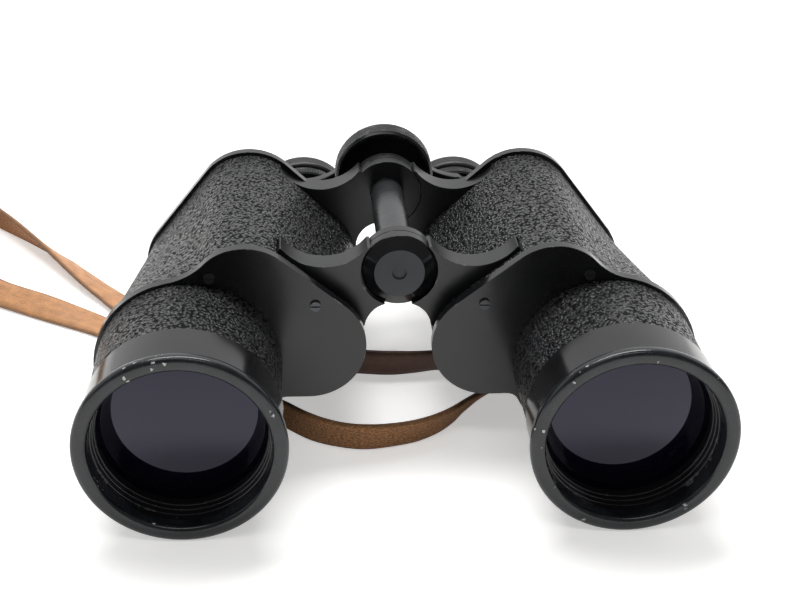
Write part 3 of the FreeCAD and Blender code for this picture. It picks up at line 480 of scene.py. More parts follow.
def smooth(angle):
    """Smooths the active piece where its faces meet at less than the angle, in degrees."""
    bpy.ops.object.shade_smooth_by_angle(angle=math.radians(angle))


def from_axis(point, x, z):
    """How far a point lies from an axis along Y."""
    return math.hypot(point.x - x, point.z - z)


def soften(piece, width, angle=35.0, segments=2):
    """Rounds a piece's sharp edges and smooths its shading."""
    only(piece)
    bevel = piece.modifiers.new("Edges", "BEVEL")
    bevel.limit_method = "ANGLE"
    bevel.angle_limit = math.radians(angle)
    bevel.width = width
    bevel.segments = segments
    bevel.use_clamp_overlap = True
    bevel.miter_outer = "MITER_ARC"
    bpy.ops.object.modifier_apply(modifier=bevel.name)
    smooth(40)
    normals = piece.modifiers.new("Normals", "WEIGHTED_NORMAL")
    normals.keep_sharp = True
    bpy.ops.object.modifier_apply(modifier=normals.name)


def worn(piece, slot, finish, *nodes):
    """Gives a piece its finish and hides the nodes that it stands for; the slot is not used."""
    piece.data.materials.clear()
    piece.data.materials.append(MATERIALS[finish])
    if nodes:
        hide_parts(*nodes)
    return piece


def finished(piece, body, slot, finish, *nodes):
    """Makes a piece ride on its body and gives it its finish."""
    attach(piece, body)
    return worn(piece, slot, finish, *nodes)


def copy_node(node, name, flat=0.4):
    """A new piece with a node's shape, its loose triangles merged into whole faces."""
    piece = bpy.data.objects.new(name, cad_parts[node].data.copy())
    bpy.context.scene.collection.objects.link(piece)
    edit(piece)
    bpy.ops.mesh.select_all(action="SELECT")
    bpy.ops.mesh.remove_doubles(threshold=0.002 * MM)
    if flat:
        bpy.ops.mesh.dissolve_limited(angle_limit=math.radians(flat))
    leave()
    return piece


def on_ring(point, x, z, ring):
    """True for a point on the ring that one point of a profile, (radius, place along Y), makes."""
    return abs(from_axis(point, x, z) - ring[0]) < SAME_PLACE and abs(point.y - ring[1]) < SAME_PLACE


def turned_piece(name, x, z, profile, steps=128, closed=True):
    """A ring extruded from a circle through a profile of (radius, place along Y), in metres."""
    bpy.ops.object.select_all(action="DESELECT")
    radius, along = profile[0]
    bpy.ops.mesh.primitive_circle_add(
        vertices=steps, radius=radius, location=(x, along, z), rotation=(math.pi / 2, 0, 0)
    )
    piece = bpy.context.active_object
    piece.name = piece.data.name = name
    bpy.ops.object.transform_apply(location=True, rotation=True, scale=True)
    edit(piece, "EDGE")
    bpy.ops.mesh.select_all(action="SELECT")
    for (r, y), (next_r, next_y) in zip(profile, profile[1:]):
        bpy.ops.mesh.extrude_region_move(TRANSFORM_OT_translate={"value": (0, next_y - y, 0)})
        scale = next_r / r
        bpy.ops.transform.resize(value=(scale, 1, scale), center_override=(x, next_y, z))
    if closed:
        ends = (profile[0], profile[-1])
        bpy.ops.mesh.select_mode(type="VERT")
        bpy.ops.mesh.select_all(action="DESELECT")
        select_where(piece, lambda vertex: any(on_ring(vertex.co, x, z, end) for end in ends), "vertices")
        bpy.ops.mesh.select_mode(type="EDGE")
        bpy.ops.mesh.bridge_edge_loops()
    outward_normals()
    return piece


def arc(centre, radius, start, end, steps):
    """Points of an arc in (radius, along); angles in degrees, from outwards towards the eyes."""
    points = []
    for i in range(steps + 1):
        angle = math.radians(start + (end - start) * i / steps)
        points.append((centre[0] + radius[0] * math.cos(angle), centre[1] + radius[1] * math.sin(angle)))
    return points


def knurl(piece, x, z, radius, front, rear, depth):
    """Raises a small point on each face of a round rim."""
    sagitta = 0.15 * MM
    border = 0.28 * MM
    edit(piece)

    def on_rim(face):
        near = abs(from_axis(face.center, x, z) - radius) < sagitta
        return front < face.center.y < rear and near and abs(face.normal.y) < 0.2

    select_where(piece, on_rim)
    bpy.ops.mesh.inset(thickness=border, depth=depth, use_individual=True)
    leave()


# ---- pieces ----


HOOD_MOUTH = 25.45 * MM
HOOD_BAND = 28.5 * MM
HOOD_BORE = 27.3 * MM


def hood_shell(word):
    """Hood with a rounded front bead and a gloss band behind it."""
    cad = round_node(f"objective_hood_{word}")
    middle = (cad.radius + HOOD_MOUTH) / 2
    half = (cad.radius - HOOD_MOUTH) / 2
    fullness = 0.8
    bead_steps = 24
    bead_back, bead_depth = 1.4 * MM, 2.2 * MM
    mouth_back = FRONT + 6.1 * MM
    profile = [(HOOD_MOUTH, mouth_back)]
    for i in range(bead_steps + 1):
        angle = math.pi * (1 - i / bead_steps)
        across, up = math.cos(angle), math.sin(angle)
        out = math.copysign(abs(across) ** fullness, across)
        profile += [(middle + half * out, cad.front + RIM_LEAD * (1 - abs(up) ** fullness))]
    profile += arc((cad.radius - bead_back, FRONT + 0.4 * MM), (bead_back, bead_depth), 0, 80, 6)
    profile += [(HOOD_BAND, FRONT + 2.95 * MM), (HOOD_BAND, cad.rear - 0.25 * MM)]
    profile += [(HOOD_BAND - 0.2 * MM, cad.rear), (HOOD_BORE, cad.rear), (HOOD_BORE, mouth_back)]
    shell = turned_piece(f"hood_shell_{word}", cad.x, cad.z, profile, 160)
    smooth(35)
    finished(shell, f"{word}_half", "black_enamel", "hood", f"objective_hood_{word}")


def hood_rings(word):
    """The stepped rings inside a hood's mouth."""
    cad = round_node(f"objective_hood_{word}")
    # Each step: its radius, and its depth behind the beads' widest line.
    steps = [(25.4 * MM, 3.4 * MM), (24.95 * MM, 5.0 * MM), (24.55 * MM, 6.7 * MM), (24.2 * MM, 8.4 * MM)]
    rounding, nose = 0.15 * MM, 0.3 * MM
    outside = HOOD_MOUTH - 0.03 * MM
    back = FRONT + 8.9 * MM
    lining = [(outside, back), (outside, FRONT + steps[0][1])]
    for (outer, _), (inner, depth) in zip(steps, steps[1:]):
        lining += arc((outer - rounding, FRONT + depth - nose), (rounding, nose), 0, 90, 3)
        lining += [(inner + 0.1 * MM, FRONT + depth)]
    lining += [(steps[-1][0], back)]
    rings = turned_piece(f"hood_rings_{word}", cad.x, cad.z, lining, 144)
    smooth(30)
    finished(rings, f"{word}_half", "blackened_metal", "gloss")


def round_glass(name, x, z, radius, front, rear):
    """A round glass; front and rear give the place of its two faces at a distance from its axis."""
    centre, steps = 0.6 * MM, 16
    reaches = [centre + (radius - centre) * i / steps for i in range(steps + 1)]
    profile = [(r, front(r)) for r in reaches] + [(r, rear(r)) for r in reversed(reaches)]
    piece = turned_piece(name, x, z, profile, 96, closed=False)
    for ring in (profile[0], profile[-1]):
        edit(piece, "EDGE")

        def on_end(edge):
            return all(on_ring(piece.data.vertices[i].co, x, z, ring) for i in edge.vertices)

        select_where(piece, on_end, "edges")
        bpy.ops.mesh.edge_face_add()
    outward_normals()
    smooth(30)
    return piece


def lenses(word):
    """The objective's cemented pair, with blackened rims."""
    crown = round_node(f"crown_lens_{word}")
    flint = round_node(f"flint_lens_{word}")
    front_curve, seam_curve, gap = 110 * MM, 90 * MM, 0.05 * MM

    def front(r):
        return crown.front + front_curve - math.sqrt(front_curve**2 - r**2)

    def seam(r, curve=seam_curve):
        return crown.rear - seam_curve + math.sqrt(curve**2 - r**2)

    for lens, name, finish, faces in (
        (crown, "crown_lens", "coated", (front, seam)),
        (flint, "flint_lens", "optical", (lambda r: seam(r, seam_curve + gap), lambda r: flint.rear)),
    ):
        piece = round_glass(f"{name}_ground_{word}", lens.x, lens.z, lens.radius, *faces)
        finished(piece, f"{word}_half", "coated_glass", finish, f"{name}_{word}")
        piece.data.materials.append(MATERIALS["inner"])
        for face in piece.data.polygons:
            if abs(face.normal.y) < 0.3:
                face.material_index = 1


def covers(word):
    """The two plates that close a prism housing, with their screws."""
    for end in ("front", "rear"):
        node = f"{end}_cover_{word}"
        piece = copy_node(node, f"{end}_cover_plate_{word}")
        soften(piece, sizes().edge * 1.4, 40, 3)
        finished(piece, f"{word}_half", "black_enamel", "enamel", node)
        screws = f"{end}_cover_screws_{word}"
        heads = copy_node(screws, f"{end}_screws_{word}")
        soften(heads, sizes().fine_edge, 40, 2)
        finished(heads, f"{word}_half", "steel", "steel", screws)


def housing(word):
    """A prism housing with its hinge arms, and the strap ring on it."""
    node = f"prism_housing_{word}"
    piece = copy_node(node, f"housing_casting_{word}", 0.2)
    soften(piece, sizes().edge, 42, 2)
    finished(piece, f"{word}_half", "black_enamel", "arm", node)
    lug = copy_node(f"strap_lug_{word}", f"strap_ring_{word}")
    soften(lug, sizes().edge, 40, 3)
    finished(lug, f"{word}_half", "satin_black_metal", "satin", f"strap_lug_{word}")


def leather(word):
    """The grained covering of a housing and of its objective tube."""
    for node in (f"body_leather_{word}", f"tube_leather_{word}"):
        piece = copy_node(node, node.replace("leather", "covering"), 0)
        only(piece)
        smooth(32)
        finished(piece, f"{word}_half", "black_leather", "leatherette", node)


def hinge_cap():
    """The hinge's bevelled front cap, with a matt face."""
    piece = copy_node("hinge_cap", "hinge_cap_disc")
    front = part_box("hinge_cap")[0].y
    face_radius, face_depth = 7.7 * MM, 1.2 * MM
    soften(piece, sizes().fine_edge, 30, 3)
    finished(piece, "left_half", "black_enamel", "gloss", "hinge_cap")
    piece.data.materials.append(MATERIALS["cap_face"])
    for face in piece.data.polygons:
        reach = from_axis(face.center, HINGE.x, HINGE.z)
        if reach < face_radius and face.center.y < front + face_depth:
            face.material_index = 1


def focus_wheel():
    """Dished wheel with a knurled rim."""
    cad = round_node("focus_wheel")
    front, rear = cad.front, cad.rear
    rim_front = FRONT + 127.7 * MM
    rim = cad.radius - sizes().knurl
    dish = rim - 1.7 * MM
    hub = 8.0 * MM
    bore = HINGE.radius + 0.06 * MM
    bore_end = front + 4.75 * MM
    spindle_bore = 2.97 * MM
    recess, recess_depth = 6.5 * MM, 0.4 * MM
    chamfer, chamfer_width = 0.6 * MM, 0.7 * MM
    rows = 9
    profile = [(bore, front), (hub, front), (hub, rim_front + 2.6 * MM)]
    profile += [(hub + 0.5 * MM, rim_front + 2.25 * MM), (dish - 0.6 * MM, rim_front + 2.2 * MM)]
    profile += [(dish, rim_front + 1.6 * MM)]
    profile += [(dish, rim_front + 0.3 * MM), (dish + 0.3 * MM, rim_front)]
    profile += [(rim - chamfer_width, rim_front), (rim, rim_front + chamfer)]
    span = rear - chamfer - rim_front - chamfer
    profile += [(rim, rim_front + chamfer + span * (i + 1) / rows) for i in range(rows)]
    profile += [(rim - chamfer_width, rear), (recess, rear), (recess - 0.3 * MM, rear - recess_depth)]
    profile += [(spindle_bore, rear - recess_depth), (spindle_bore, bore_end), (bore, bore_end)]
    piece = turned_piece("focus_wheel_knurled", cad.x, cad.z, profile, 132)
    knurl(piece, cad.x, cad.z, rim, rim_front + 0.5 * MM, rear - 0.5 * MM, sizes().knurl)
    only(piece)
    smooth(28)
    finished(piece, "focus_wheel", "satin_black_metal", "satin", "focus_wheel")


def grip_ring(node, name, body):
    """A knurled ring round an ocular tube."""
    rows, steps = 5, 110
    cad = round_node(node)
    rim = cad.radius - sizes().knurl
    front, rear = cad.front, cad.rear
    chamfer, chamfer_width = 0.5 * MM, 0.4 * MM
    span = rear - front - 2 * chamfer
    profile = [(TUBE_BORE, front), (rim - chamfer_width, front), (rim, front + chamfer)]
    profile += [(rim, front + chamfer + span * (i + 1) / rows) for i in range(rows)]
    profile += [(rim - chamfer_width, rear), (TUBE_BORE, rear)]
    piece = turned_piece(name, cad.x, cad.z, profile, steps)
    knurl(piece, cad.x, cad.z, rim, front + 0.4 * MM, rear - 0.4 * MM, sizes().knurl)
    only(piece)
    smooth(28)
    finished(piece, body, "ocular_metal", "satin", node)


def eyecup(word, body):
    """Ebonite cup with three fine grooves in its broad rim and a rolled edge."""
    cad = round_node(f"eyecup_{word}")
    front, rear, rim = cad.front, cad.rear, cad.radius
    waist, mouth = 15.8 * MM, 11.05 * MM
    step = rear - 4.1 * MM
    first_groove, groove_pitch = front + 4.2 * MM, 1.25 * MM
    floor = rim - 0.2 * MM
    roll = 1.1 * MM
    profile = [(TUBE_BORE, front), (waist - 0.3 * MM, front)]
    profile += [(waist, front + 0.3 * MM), (waist, front + 2.0 * MM)]
    profile += arc((waist, front + 3.2 * MM), (rim - waist, 1.2 * MM), -88, -4, 6)
    for i in range(3):
        y = first_groove + i * groove_pitch
        profile += [(rim, y), (floor, y + 0.15 * MM), (floor, y + 0.35 * MM), (rim, y + 0.5 * MM)]
    profile += arc((rim - roll, rear - roll), (roll, roll), 0, 150, 9)
    profile += arc((mouth + 0.9 * MM, rear - 1.0 * MM), (3.1 * MM, 1.9 * MM), 0, -80, 6)
    profile += [(mouth, step + 1.1 * MM), (mouth, step), (TUBE_BORE, step)]
    piece = turned_piece(f"eyecup_shell_{word}", cad.x, cad.z, profile, 120)
    smooth(35)
    finished(piece, body, "black_enamel", "ebonite", f"eyecup_{word}")


def oculars():
    """The bridge's two arms, the knurled rings and the eyecups."""
    for word in SIDES:
        arm = copy_node(f"ocular_arm_{word}", f"ocular_bridge_{word}")
        soften(arm, sizes().edge, 40, 3)
        finished(arm, f"{word}_ocular", "satin_black_metal", "arm", f"ocular_arm_{word}")
    grip_ring("ocular_ring_left", "ocular_grip_left", "left_ocular")
    grip_ring("dioptre_ring_right", "dioptre_grip_right", "dioptre_ring")
    eyecup("left", "left_ocular")
    eyecup("right", "dioptre_ring")


# ---- neck strap ----
# Each point: x, depth behind the beads' widest line and height, in millimetres, and the way that the
# smooth side faces.

UP = (0, 0, 1)
LEFT_RUN = [
    (-85.6, 109.0, 16.6, (1, 0.1, 0)), (-85.8, 109.6, 11.5, (1, 0.05, 0)), (-86.2, 113.5, 7.0, (1, 0, 0.2)),
    (-87.6, 121.5, 4.6, (0.8, 0.1, 0.6)), (-91.3, 132.5, 2.3, (0.3, 0.2, 0.95)),
    (-96.9, 143.8, 1.7, (0.11, 0.11, 0.99)), (-107.0, 156.1, 2.5, (0.22, 0.22, 0.95)),
    (-115.8, 168.2, 3.3, (0.34, 0.33, 0.88)), (-121.0, 175.5, 4.0, (0.41, 0.40, 0.82)),
    (-131.0, 187.5, 5.0, (0.57, 0.55, 0.62)), (-140.0, 198.9, 5.4, (0.65, 0.63, 0.42)),
    (-152.3, 213.5, 5.4, (0.71, 0.69, 0.14)), (-164.0, 228.0, 5.5, (0.6, 0.8, 0)),
]
RIGHT_RUN = [
    (-155.5, 163.0, 5.5, (-1, -0.2, 0)), (-150.5, 153.5, 5.0, (-0.7, -0.6, 0.3)),
    (-141.1, 148.4, 3.5, (-0.25, -0.43, 0.87)), (-123.6, 137.5, 3.4, (-0.25, -0.43, 0.87)),
    (-113.2, 131.8, 2.5, (-0.15, -0.27, 0.95)), (-102.9, 126.0, 1.7, (-0.07, -0.12, 0.99)),
    (-92.0, 118.0, 1.2, UP), (-77.0, 104.0, 1.1, UP),
    (-62.0, 88.0, 1.2, UP), (-51.0, 75.5, 2.6, (0.3, 0.35, 0.9)), (-42.0, 65.5, 4.8, (0.65, 0.7, 0.3)),
    (-34.3, 56.8, 5.3, (0.72, 0.69, 0.09)), (-27.3, 49.5, 5.4, (0.64, 0.76, 0.1)),
    (-18.6, 44.8, 5.4, (0.34, 0.92, 0.2)), (-9.9, 43.0, 5.3, (0.03, 0.98, 0.22)),
    (-1.0, 44.2, 5.3, (-0.2, 0.93, 0.3)), (7.4, 46.9, 5.2, (-0.42, 0.85, 0.33)),
    (15.4, 52.3, 5.1, (-0.6, 0.7, 0.38)), (21.0, 58.5, 5.0, (-0.7, 0.55, 0.45)),
    (26.0, 65.4, 4.7, (-0.62, 0.5, 0.6)),
    (38.5, 79.0, 3.0, (-0.3, 0.4, 0.87)), (52.0, 88.5, 1.2, (-0.1, 0.1, 1)), (67.0, 95.5, 1.0, UP),
    (77.5, 99.8, 1.4, (-0.2, 0.1, 1)), (84.0, 104.4, 5.2, (-0.9, 0.2, 0.5)),
    (85.6, 107.6, 11.5, (-1, 0.1, 0)), (85.6, 108.0, 17.4, (-1, 0, 0)),
]
TAIL_RUN = [
    (88.2, 110.5, 19.4, (0, 0, 1)), (91.0, 111.0, 17.0, (1, 0, 0.2)), (90.6, 111.6, 9.0, (1, 0, 0)),
    (88.0, 112.0, 2.6, (0.6, 0, 0.8)), (80.5, 111.6, 1.1, UP), (68.0, 109.8, 1.0, UP),
    (53.0, 105.6, 1.4, UP), (40.0, 99.0, 4.0, (0.3, -0.7, 0.65)), (28.0, 94.5, 5.1, (0.2, -0.9, -0.1)),
    (15.9, 90.9, 5.0, (0.1, -0.9, -0.4)), (1.6, 89.0, 5.2, (0, -0.97, -0.2)),
    (-10.0, 90.6, 5.2, (0, -0.97, -0.2)),
    (-25.0, 93.5, 5.2, (-0.1, -1, 0.1)), (-37.0, 97.5, 3.6, (-0.1, -0.7, 0.7)), (-47.0, 101.5, 1.4, UP),
]
ROLL_CENTRE = (-193.0, 200.0)
ROLL_HEIGHT = 5.5
ROLL_PITCH = 8.4
ROLL_STEPS = 14
# The fold at the middle of the roll, from its centre.
ROLL_FOLD = [(19.0, 15.5), (9.0, 19.5), (-3.0, 15.0), (-8.5, 5.0), (-4.0, -4.5), (6.0, -6.0), (13.0, -9.5)]


def spiral(outer, inner, start_angle):
    """Points of one strand of the roll, going inwards anticlockwise, with the way its smooth side faces."""
    turns = (outer - inner) / ROLL_PITCH
    count = round(turns * ROLL_STEPS)
    points = []
    for i in range(count + 1):
        angle = math.radians(start_angle) + 2 * math.pi * i / ROLL_STEPS
        radius = outer - ROLL_PITCH * i / ROLL_STEPS
        across, along = math.cos(angle), math.sin(angle)
        x, depth = ROLL_CENTRE[0] + radius * across, ROLL_CENTRE[1] + radius * along
        points.append((x, depth, ROLL_HEIGHT, (across, along, 0)))
    return points


def main_route():
    """The strap from the left ring into the roll, round its fold, and out again to the right ring."""
    inward = spiral(39.5, 25.0, 50.0)
    outward = [(x, y, z, (-a, -b, 0)) for x, y, z, (a, b, _) in reversed(spiral(37.0, 22.0, 0.0))]
    fold = []
    for i, (x, y) in enumerate(ROLL_FOLD):
        before = ROLL_FOLD[max(0, i - 1)]
        after = ROLL_FOLD[min(len(ROLL_FOLD) - 1, i + 1)]
        ahead = Vector((after[0] - before[0], after[1] - before[1])).normalized()
        fold.append((ROLL_CENTRE[0] + x, ROLL_CENTRE[1] + y, ROLL_HEIGHT, (ahead.y, -ahead.x, 0)))
    return LEFT_RUN + inward + fold + outward + RIGHT_RUN


def spline_path(name, route):
    """The route's NURBS line as points, with the smooth side's facing at each."""
    line = bpy.data.curves.new(name, "CURVE")
    line.dimensions = "3D"
    spline = line.splines.new("NURBS")
    spline.points.add(len(route) - 1)
    for point, (x, depth, z, _) in zip(spline.points, route):
        point.co = (*at(x, depth, z), 1.0)
    spline.order_u = 3
    spline.use_endpoint_u = True
    spline.resolution_u = 8
    holder = bpy.data.objects.new(name, line)
    bpy.context.scene.collection.objects.link(holder)
    bpy.context.view_layer.update()
    mesh = bpy.data.meshes.new_from_object(holder)
    path = [vertex.co.copy() for vertex in mesh.vertices]
    bpy.data.objects.remove(holder)
    bpy.data.meshes.remove(mesh)
    last = len(route) - 2
    middles = [0.0] + [i + 0.5 for i in range(last)] + [float(last)]
    facings = []
    for i in range(len(path)):
        place = last * i / (len(path) - 1)
        after = next(k for k, middle in enumerate(middles) if middle >= place - 1e-9)
        before = max(0, after - 1)
        span = middles[after] - middles[before]
        share = (place - middles[before]) / span if span else 0.0
        was, will_be = (Vector(route[k][3]).normalized() for k in (before, after))
        facings.append(was.lerp(will_be, share))
    return path, facings


def strap_mesh(name, path, facings, width, thickness, tapers=False):
    """A strip with rounded edges that follows a path and turns with its facings."""
    half_w, half_t = width / 2, thickness / 2
    nick = half_t * 0.55
    taper = 14 * MM
    ripple = 0.25 * MM
    # Each point of the section: across, through, and 1 on the smooth side.
    rough_side = [
        (-half_w, -half_t + nick, 0), (-half_w + nick, -half_t, 0), (-half_w * 0.5, -half_t, 0),
        (0, -half_t, 0), (half_w * 0.5, -half_t, 0), (half_w - nick, -half_t, 0), (half_w, -half_t + nick, 0),
    ]
    outline = rough_side + [(w, -t, 1) for w, t, _ in reversed(rough_side)]
    count = len(outline)
    lengths = [0.0]
    for before, after in zip(path, path[1:]):
        lengths.append(lengths[-1] + (after - before).length)
    vertices, sides, across = [], [], []
    for i, point in enumerate(path):
        ahead = (path[min(i + 1, len(path) - 1)] - path[max(i - 1, 0)]).normalized()
        normal = (facings[i] - ahead * facings[i].dot(ahead)).normalized()
        sideways = ahead.cross(normal)
        left = lengths[-1] - lengths[i]
        narrow = min(1.0, 0.25 + 0.75 * math.sqrt(left / taper)) if tapers and left < taper else 1.0
        wave = ripple * math.sin(lengths[i] * 170.0) * math.sin(lengths[i] * 61.0)
        for w, t, side in outline:
            bow = -ripple * (w / half_w) ** 2
            vertices.append(point + sideways * (w * narrow) + normal * (t + bow * 0.5 + wave * 0.15))
            sides.append(float(side))
            across.append(w * narrow)
    faces = []
    for i in range(len(path) - 1):
        for k in range(count):
            a, b = i * count + k, i * count + (k + 1) % count
            faces.append((a, a + count, b + count, b))
    faces.append(tuple(range(count)))
    faces.append(tuple(reversed(range((len(path) - 1) * count, len(path) * count))))
    mesh = bpy.data.meshes.new(name)
    mesh.from_pydata([tuple(v) for v in vertices], [], faces)
    attribute = mesh.attributes.new("grain_side", "FLOAT", "POINT")
    attribute.data.foreach_set("value", sides)
    uv = mesh.uv_layers.new(name="UVMap")
    for loop in mesh.loops:
        v = loop.vertex_index
        uv.data[loop.index].uv = (lengths[v // count], across[v])
    piece = bpy.data.objects.new(name, mesh)
    bpy.context.scene.collection.objects.link(piece)
    edit(piece)
    outward_normals()
    smooth(50)
    return piece, lengths[-1]


def neck_strap():
    """The strap and its tail."""
    width, thickness = sizes().strap_width, sizes().strap_thickness
    path, facings = spline_path("strap_line", main_route())
    piece, span = strap_mesh("neck_strap", path, facings, width, thickness)
    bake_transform(piece)
    worn(piece, "strap_leather", "strap", "neck_strap_left_run", "neck_strap_roll", "neck_strap_right_run")
    tuple(path[0])
    [tuple(p) for p in path]
    path, facings = spline_path("strap_tail_line", TAIL_RUN)
    piece, span = strap_mesh("strap_tail", path, facings, width, thickness, tapers=True)
    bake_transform(piece)
    worn(piece, "strap_leather", "tail", "neck_strap_tail")
    tuple(path[0])
    [tuple(p) for p in path]


# ---- stage ----


def camera():
    """The camera stands in front, to the left and above, level but for a slight roll."""
    made = bpy.data.objects.new("Camera", bpy.data.cameras.new("Camera"))
    bpy.context.scene.collection.objects.link(made)
    bpy.context.scene.camera = made
    made.data.sensor_width = 36.0
    made.data.lens = stage_settings().lens
    made.data.clip_start, made.data.clip_end = 0.01, 20.0
    place = at(-31.761, -334.117, 248.942)
    turn, pitch, roll = 0.077, 0.473, 0.024
    right = Vector((math.cos(turn), -math.sin(turn), 0))
    ahead = Vector((math.sin(turn) * math.cos(pitch), math.cos(turn) * math.cos(pitch), -math.sin(pitch)))
    up = right.cross(ahead)
    across = math.cos(roll) * right + math.sin(roll) * up
    upward = -math.sin(roll) * right + math.cos(roll) * up
    matrix = Matrix((across, upward, -ahead)).transposed().to_4x4()
    matrix.translation = place
    made.matrix_world = matrix


def area_light(name, place, target, size, watts):
    """A rectangular lamp at a place, turned to its target."""
    light = bpy.data.lights.new(name, "AREA")
    light.shape = "RECTANGLE"
    light.size, light.size_y = size
    light.energy = watts
    made = bpy.data.objects.new(name, light)
    bpy.context.scene.collection.objects.link(made)
    made.location = place
    made.rotation_euler = (Vector(target) - Vector(place)).to_track_quat("-Z", "Y").to_euler()


def surface():
    """The pale surface, seen nearly white by the camera and in reflections."""
    bpy.ops.object.select_all(action="DESELECT")
    bpy.ops.mesh.primitive_plane_add(size=8.0, location=(0, 0, 0))
    floor = bpy.context.active_object
    floor.name = "floor"
    m = Maker("White surface")
    path = m.add("LightPath")
    seen = m.math("MAXIMUM", path.outputs["Is Camera Ray"], path.outputs["Is Glossy Ray"])
    seen = m.math("MAXIMUM", seen, path.outputs["Is Transmission Ray"])
    shade = m.range(m.noise(m.coordinates(), 8.0, 2.0), 0.3, 0.7, 0.0, 0.03)
    m.set(
        Base_Color=m.mix(shade, tuple(stage_settings().floor), (0.8, 0.8, 0.8, 1)),
        Emission_Strength=m.math("MULTIPLY", seen, 0.45),
    )
    m.shader.inputs["Emission Color"].default_value = (1.0, 0.995, 0.985, 1)
    m.shader.inputs["Roughness"].default_value = 0.6
    m.shader.inputs["Specular IOR Level"].default_value = 0.2
    floor.data.materials.append(m.material)


def surroundings():
    """White to the camera and through glass; as light, bright behind the binoculars and dark before them."""
    world = bpy.data.worlds.new("Studio")
    bpy.context.scene.world = world
    world.use_nodes = True
    tree = world.node_tree
    background = tree.nodes["Background"]
    path = tree.nodes.new("ShaderNodeLightPath")
    seen = tree.nodes.new("ShaderNodeMath")
    seen.operation = "MAXIMUM"
    tree.links.new(path.outputs["Is Camera Ray"], seen.inputs[0])
    tree.links.new(path.outputs["Is Transmission Ray"], seen.inputs[1])
    strength = tree.nodes.new("ShaderNodeMapRange")
    tree.links.new(seen.outputs[0], strength.inputs[0])
    strength.inputs["To Max"].default_value = 1.0
    tree.links.new(strength.outputs[0], background.inputs["Strength"])
    background.inputs["Color"].default_value = (1, 1, 1, 1)
    where = tree.nodes.new("ShaderNodeTexCoord")
    parts = tree.nodes.new("ShaderNodeSeparateXYZ")
    tree.links.new(where.outputs["Generated"], parts.inputs[0])
    behind = tree.nodes.new("ShaderNodeMapRange")
    behind.interpolation_type = "SMOOTHSTEP"
    behind.inputs["From Min"].default_value = 0.1
    behind.inputs["From Max"].default_value = 0.9
    behind.inputs["To Min"].default_value = stage_settings().world
    behind.inputs["To Max"].default_value = 1.0
    tree.links.new(parts.outputs["Y"], behind.inputs[0])
    tree.links.new(behind.outputs[0], strength.inputs["To Min"])


def lights():
    """One large lamp above and behind, a small one in front, and one at each side."""
    settings = stage_settings()
    area_light("Top", (-0.1, 0.35, 1.1), (0, 0, 0), (1.0, 0.36), settings.top_light)
    area_light("Front", (-0.1, -0.5, 1.0), (0, 0, 0), (0.9, 0.2), settings.front_light)
    area_light("Left", (-1.1, -0.1, 0.5), (0, 0, 0.03), (0.5, 0.7), settings.side_light)
    area_light("Right", (1.1, 0.2, 0.6), (0, 0, 0.03), (0.5, 0.7), settings.side_light)


# ---- operators ----


class BuildStage(bpy.types.Operator):
    """Adds the camera, the surface, the lights and the surroundings"""

    bl_idname = "binoculars.stage"
    bl_label = "Stage"

    def execute(self, context):
        camera()
        surface()
        surroundings()
        lights()
        return {"FINISHED"}


class BuildFinishes(bpy.types.Operator):
    """Makes the materials and gives each carried-over node its own"""

    bl_idname = "binoculars.finishes"
    bl_label = "Finishes"

    def execute(self, context):
        make_materials()
        for name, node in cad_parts.items():
            stem = name.removesuffix("_left").removesuffix("_right")
            finish = NODE_FINISH.get(stem, "enamel")
            node.data.materials.clear()
            node.data.materials.append(MATERIALS[finish])
        return {"FINISHED"}


class BuildStrap(bpy.types.Operator):
    """Lays the neck strap, its roll and its tail on the surface"""

    bl_idname = "binoculars.strap"
    bl_label = "Neck strap"

    def execute(self, context):
        neck_strap()
        return {"FINISHED"}


class BuildHoods(bpy.types.Operator):
    """Turns the objective hoods, the rings in their mouths and the objective lenses"""

    bl_idname = "binoculars.hoods"
    bl_label = "Hoods"

    def execute(self, context):
        for word in SIDES:
            hood_shell(word)
            hood_rings(word)
            lenses(word)
        return {"FINISHED"}


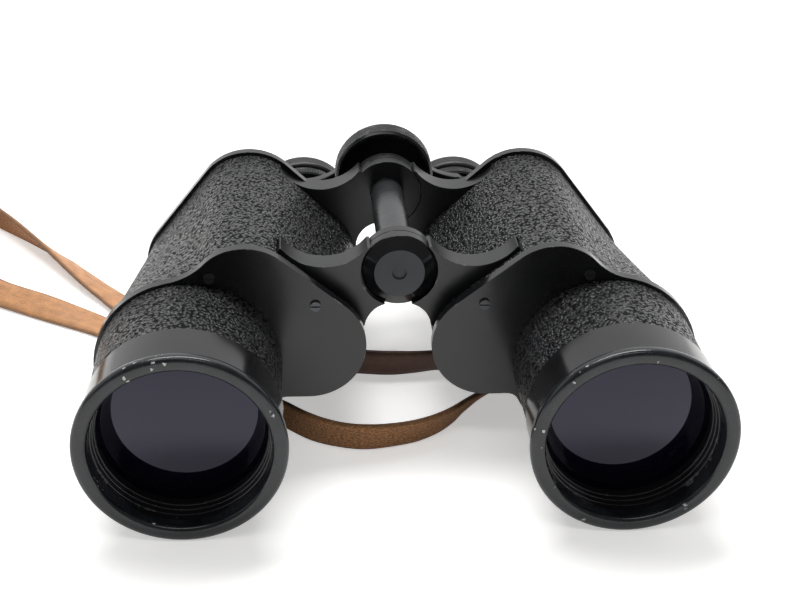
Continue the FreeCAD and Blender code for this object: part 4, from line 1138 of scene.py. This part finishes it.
class BuildHousings(bpy.types.Operator):
    """Finishes the prism housings, their covers, screws, strap rings and leather"""

    bl_idname = "binoculars.housings"
    bl_label = "Housings"

    def execute(self, context):
        for word in SIDES:
            covers(word)
            housing(word)
            leather(word)
        return {"FINISHED"}


class BuildHinge(bpy.types.Operator):
    """Finishes the hinge cap and knurls the focus wheel"""

    bl_idname = "binoculars.hinge"
    bl_label = "Hinge and focus wheel"

    def execute(self, context):
        hinge_cap()
        focus_wheel()
        return {"FINISHED"}


class BuildOculars(bpy.types.Operator):
    """Finishes the ocular bridge, the grip rings and the eyecups"""

    bl_idname = "binoculars.oculars"
    bl_label = "Oculars"

    def execute(self, context):
        oculars()
        return {"FINISHED"}


OPERATORS = (BuildStage, BuildFinishes, BuildStrap, BuildHoods, BuildHousings, BuildHinge, BuildOculars)


class BinocularPanel(bpy.types.Panel):
    """Lists the pieces, their sizes and colours"""

    bl_idname = "VIEW3D_PT_binoculars"
    bl_label = "Binoculars"
    bl_space_type = "VIEW_3D"
    bl_region_type = "UI"
    bl_category = "Binoculars"

    def draw(self, context):
        layout = self.layout
        for operator in OPERATORS:
            layout.operator(operator.bl_idname)
        for group in (colours(), sizes(), stage_settings()):
            box = layout.box()
            for key in group.bl_rna.properties.keys():
                if key not in ("rna_type", "name"):
                    box.prop(group, key)


GROUPS = {
    "binocular_colours": FinishColours,
    "binocular_sizes": PieceSizes,
    "binocular_stage": StageSettings,
}
CLASSES = (*GROUPS.values(), *OPERATORS, BinocularPanel)


def register():
    for cls in CLASSES:
        bpy.utils.register_class(cls)
    for name, group in GROUPS.items():
        setattr(bpy.types.Scene, name, bpy.props.PointerProperty(type=group))


def unregister():
    for name in GROUPS:
        delattr(bpy.types.Scene, name)
    for cls in reversed(CLASSES):
        bpy.utils.unregister_class(cls)


def main():
    """Builds every piece in order."""
    register()
    bpy.context.scene.view_settings.view_transform = "Standard"
    bpy.ops.binoculars.stage()
    bpy.ops.binoculars.finishes()
    bpy.ops.binoculars.strap()
    bpy.ops.binoculars.hoods()
    bpy.ops.binoculars.housings()
    bpy.ops.binoculars.hinge()
    bpy.ops.binoculars.oculars()


if __name__ == "__main__":
    main()
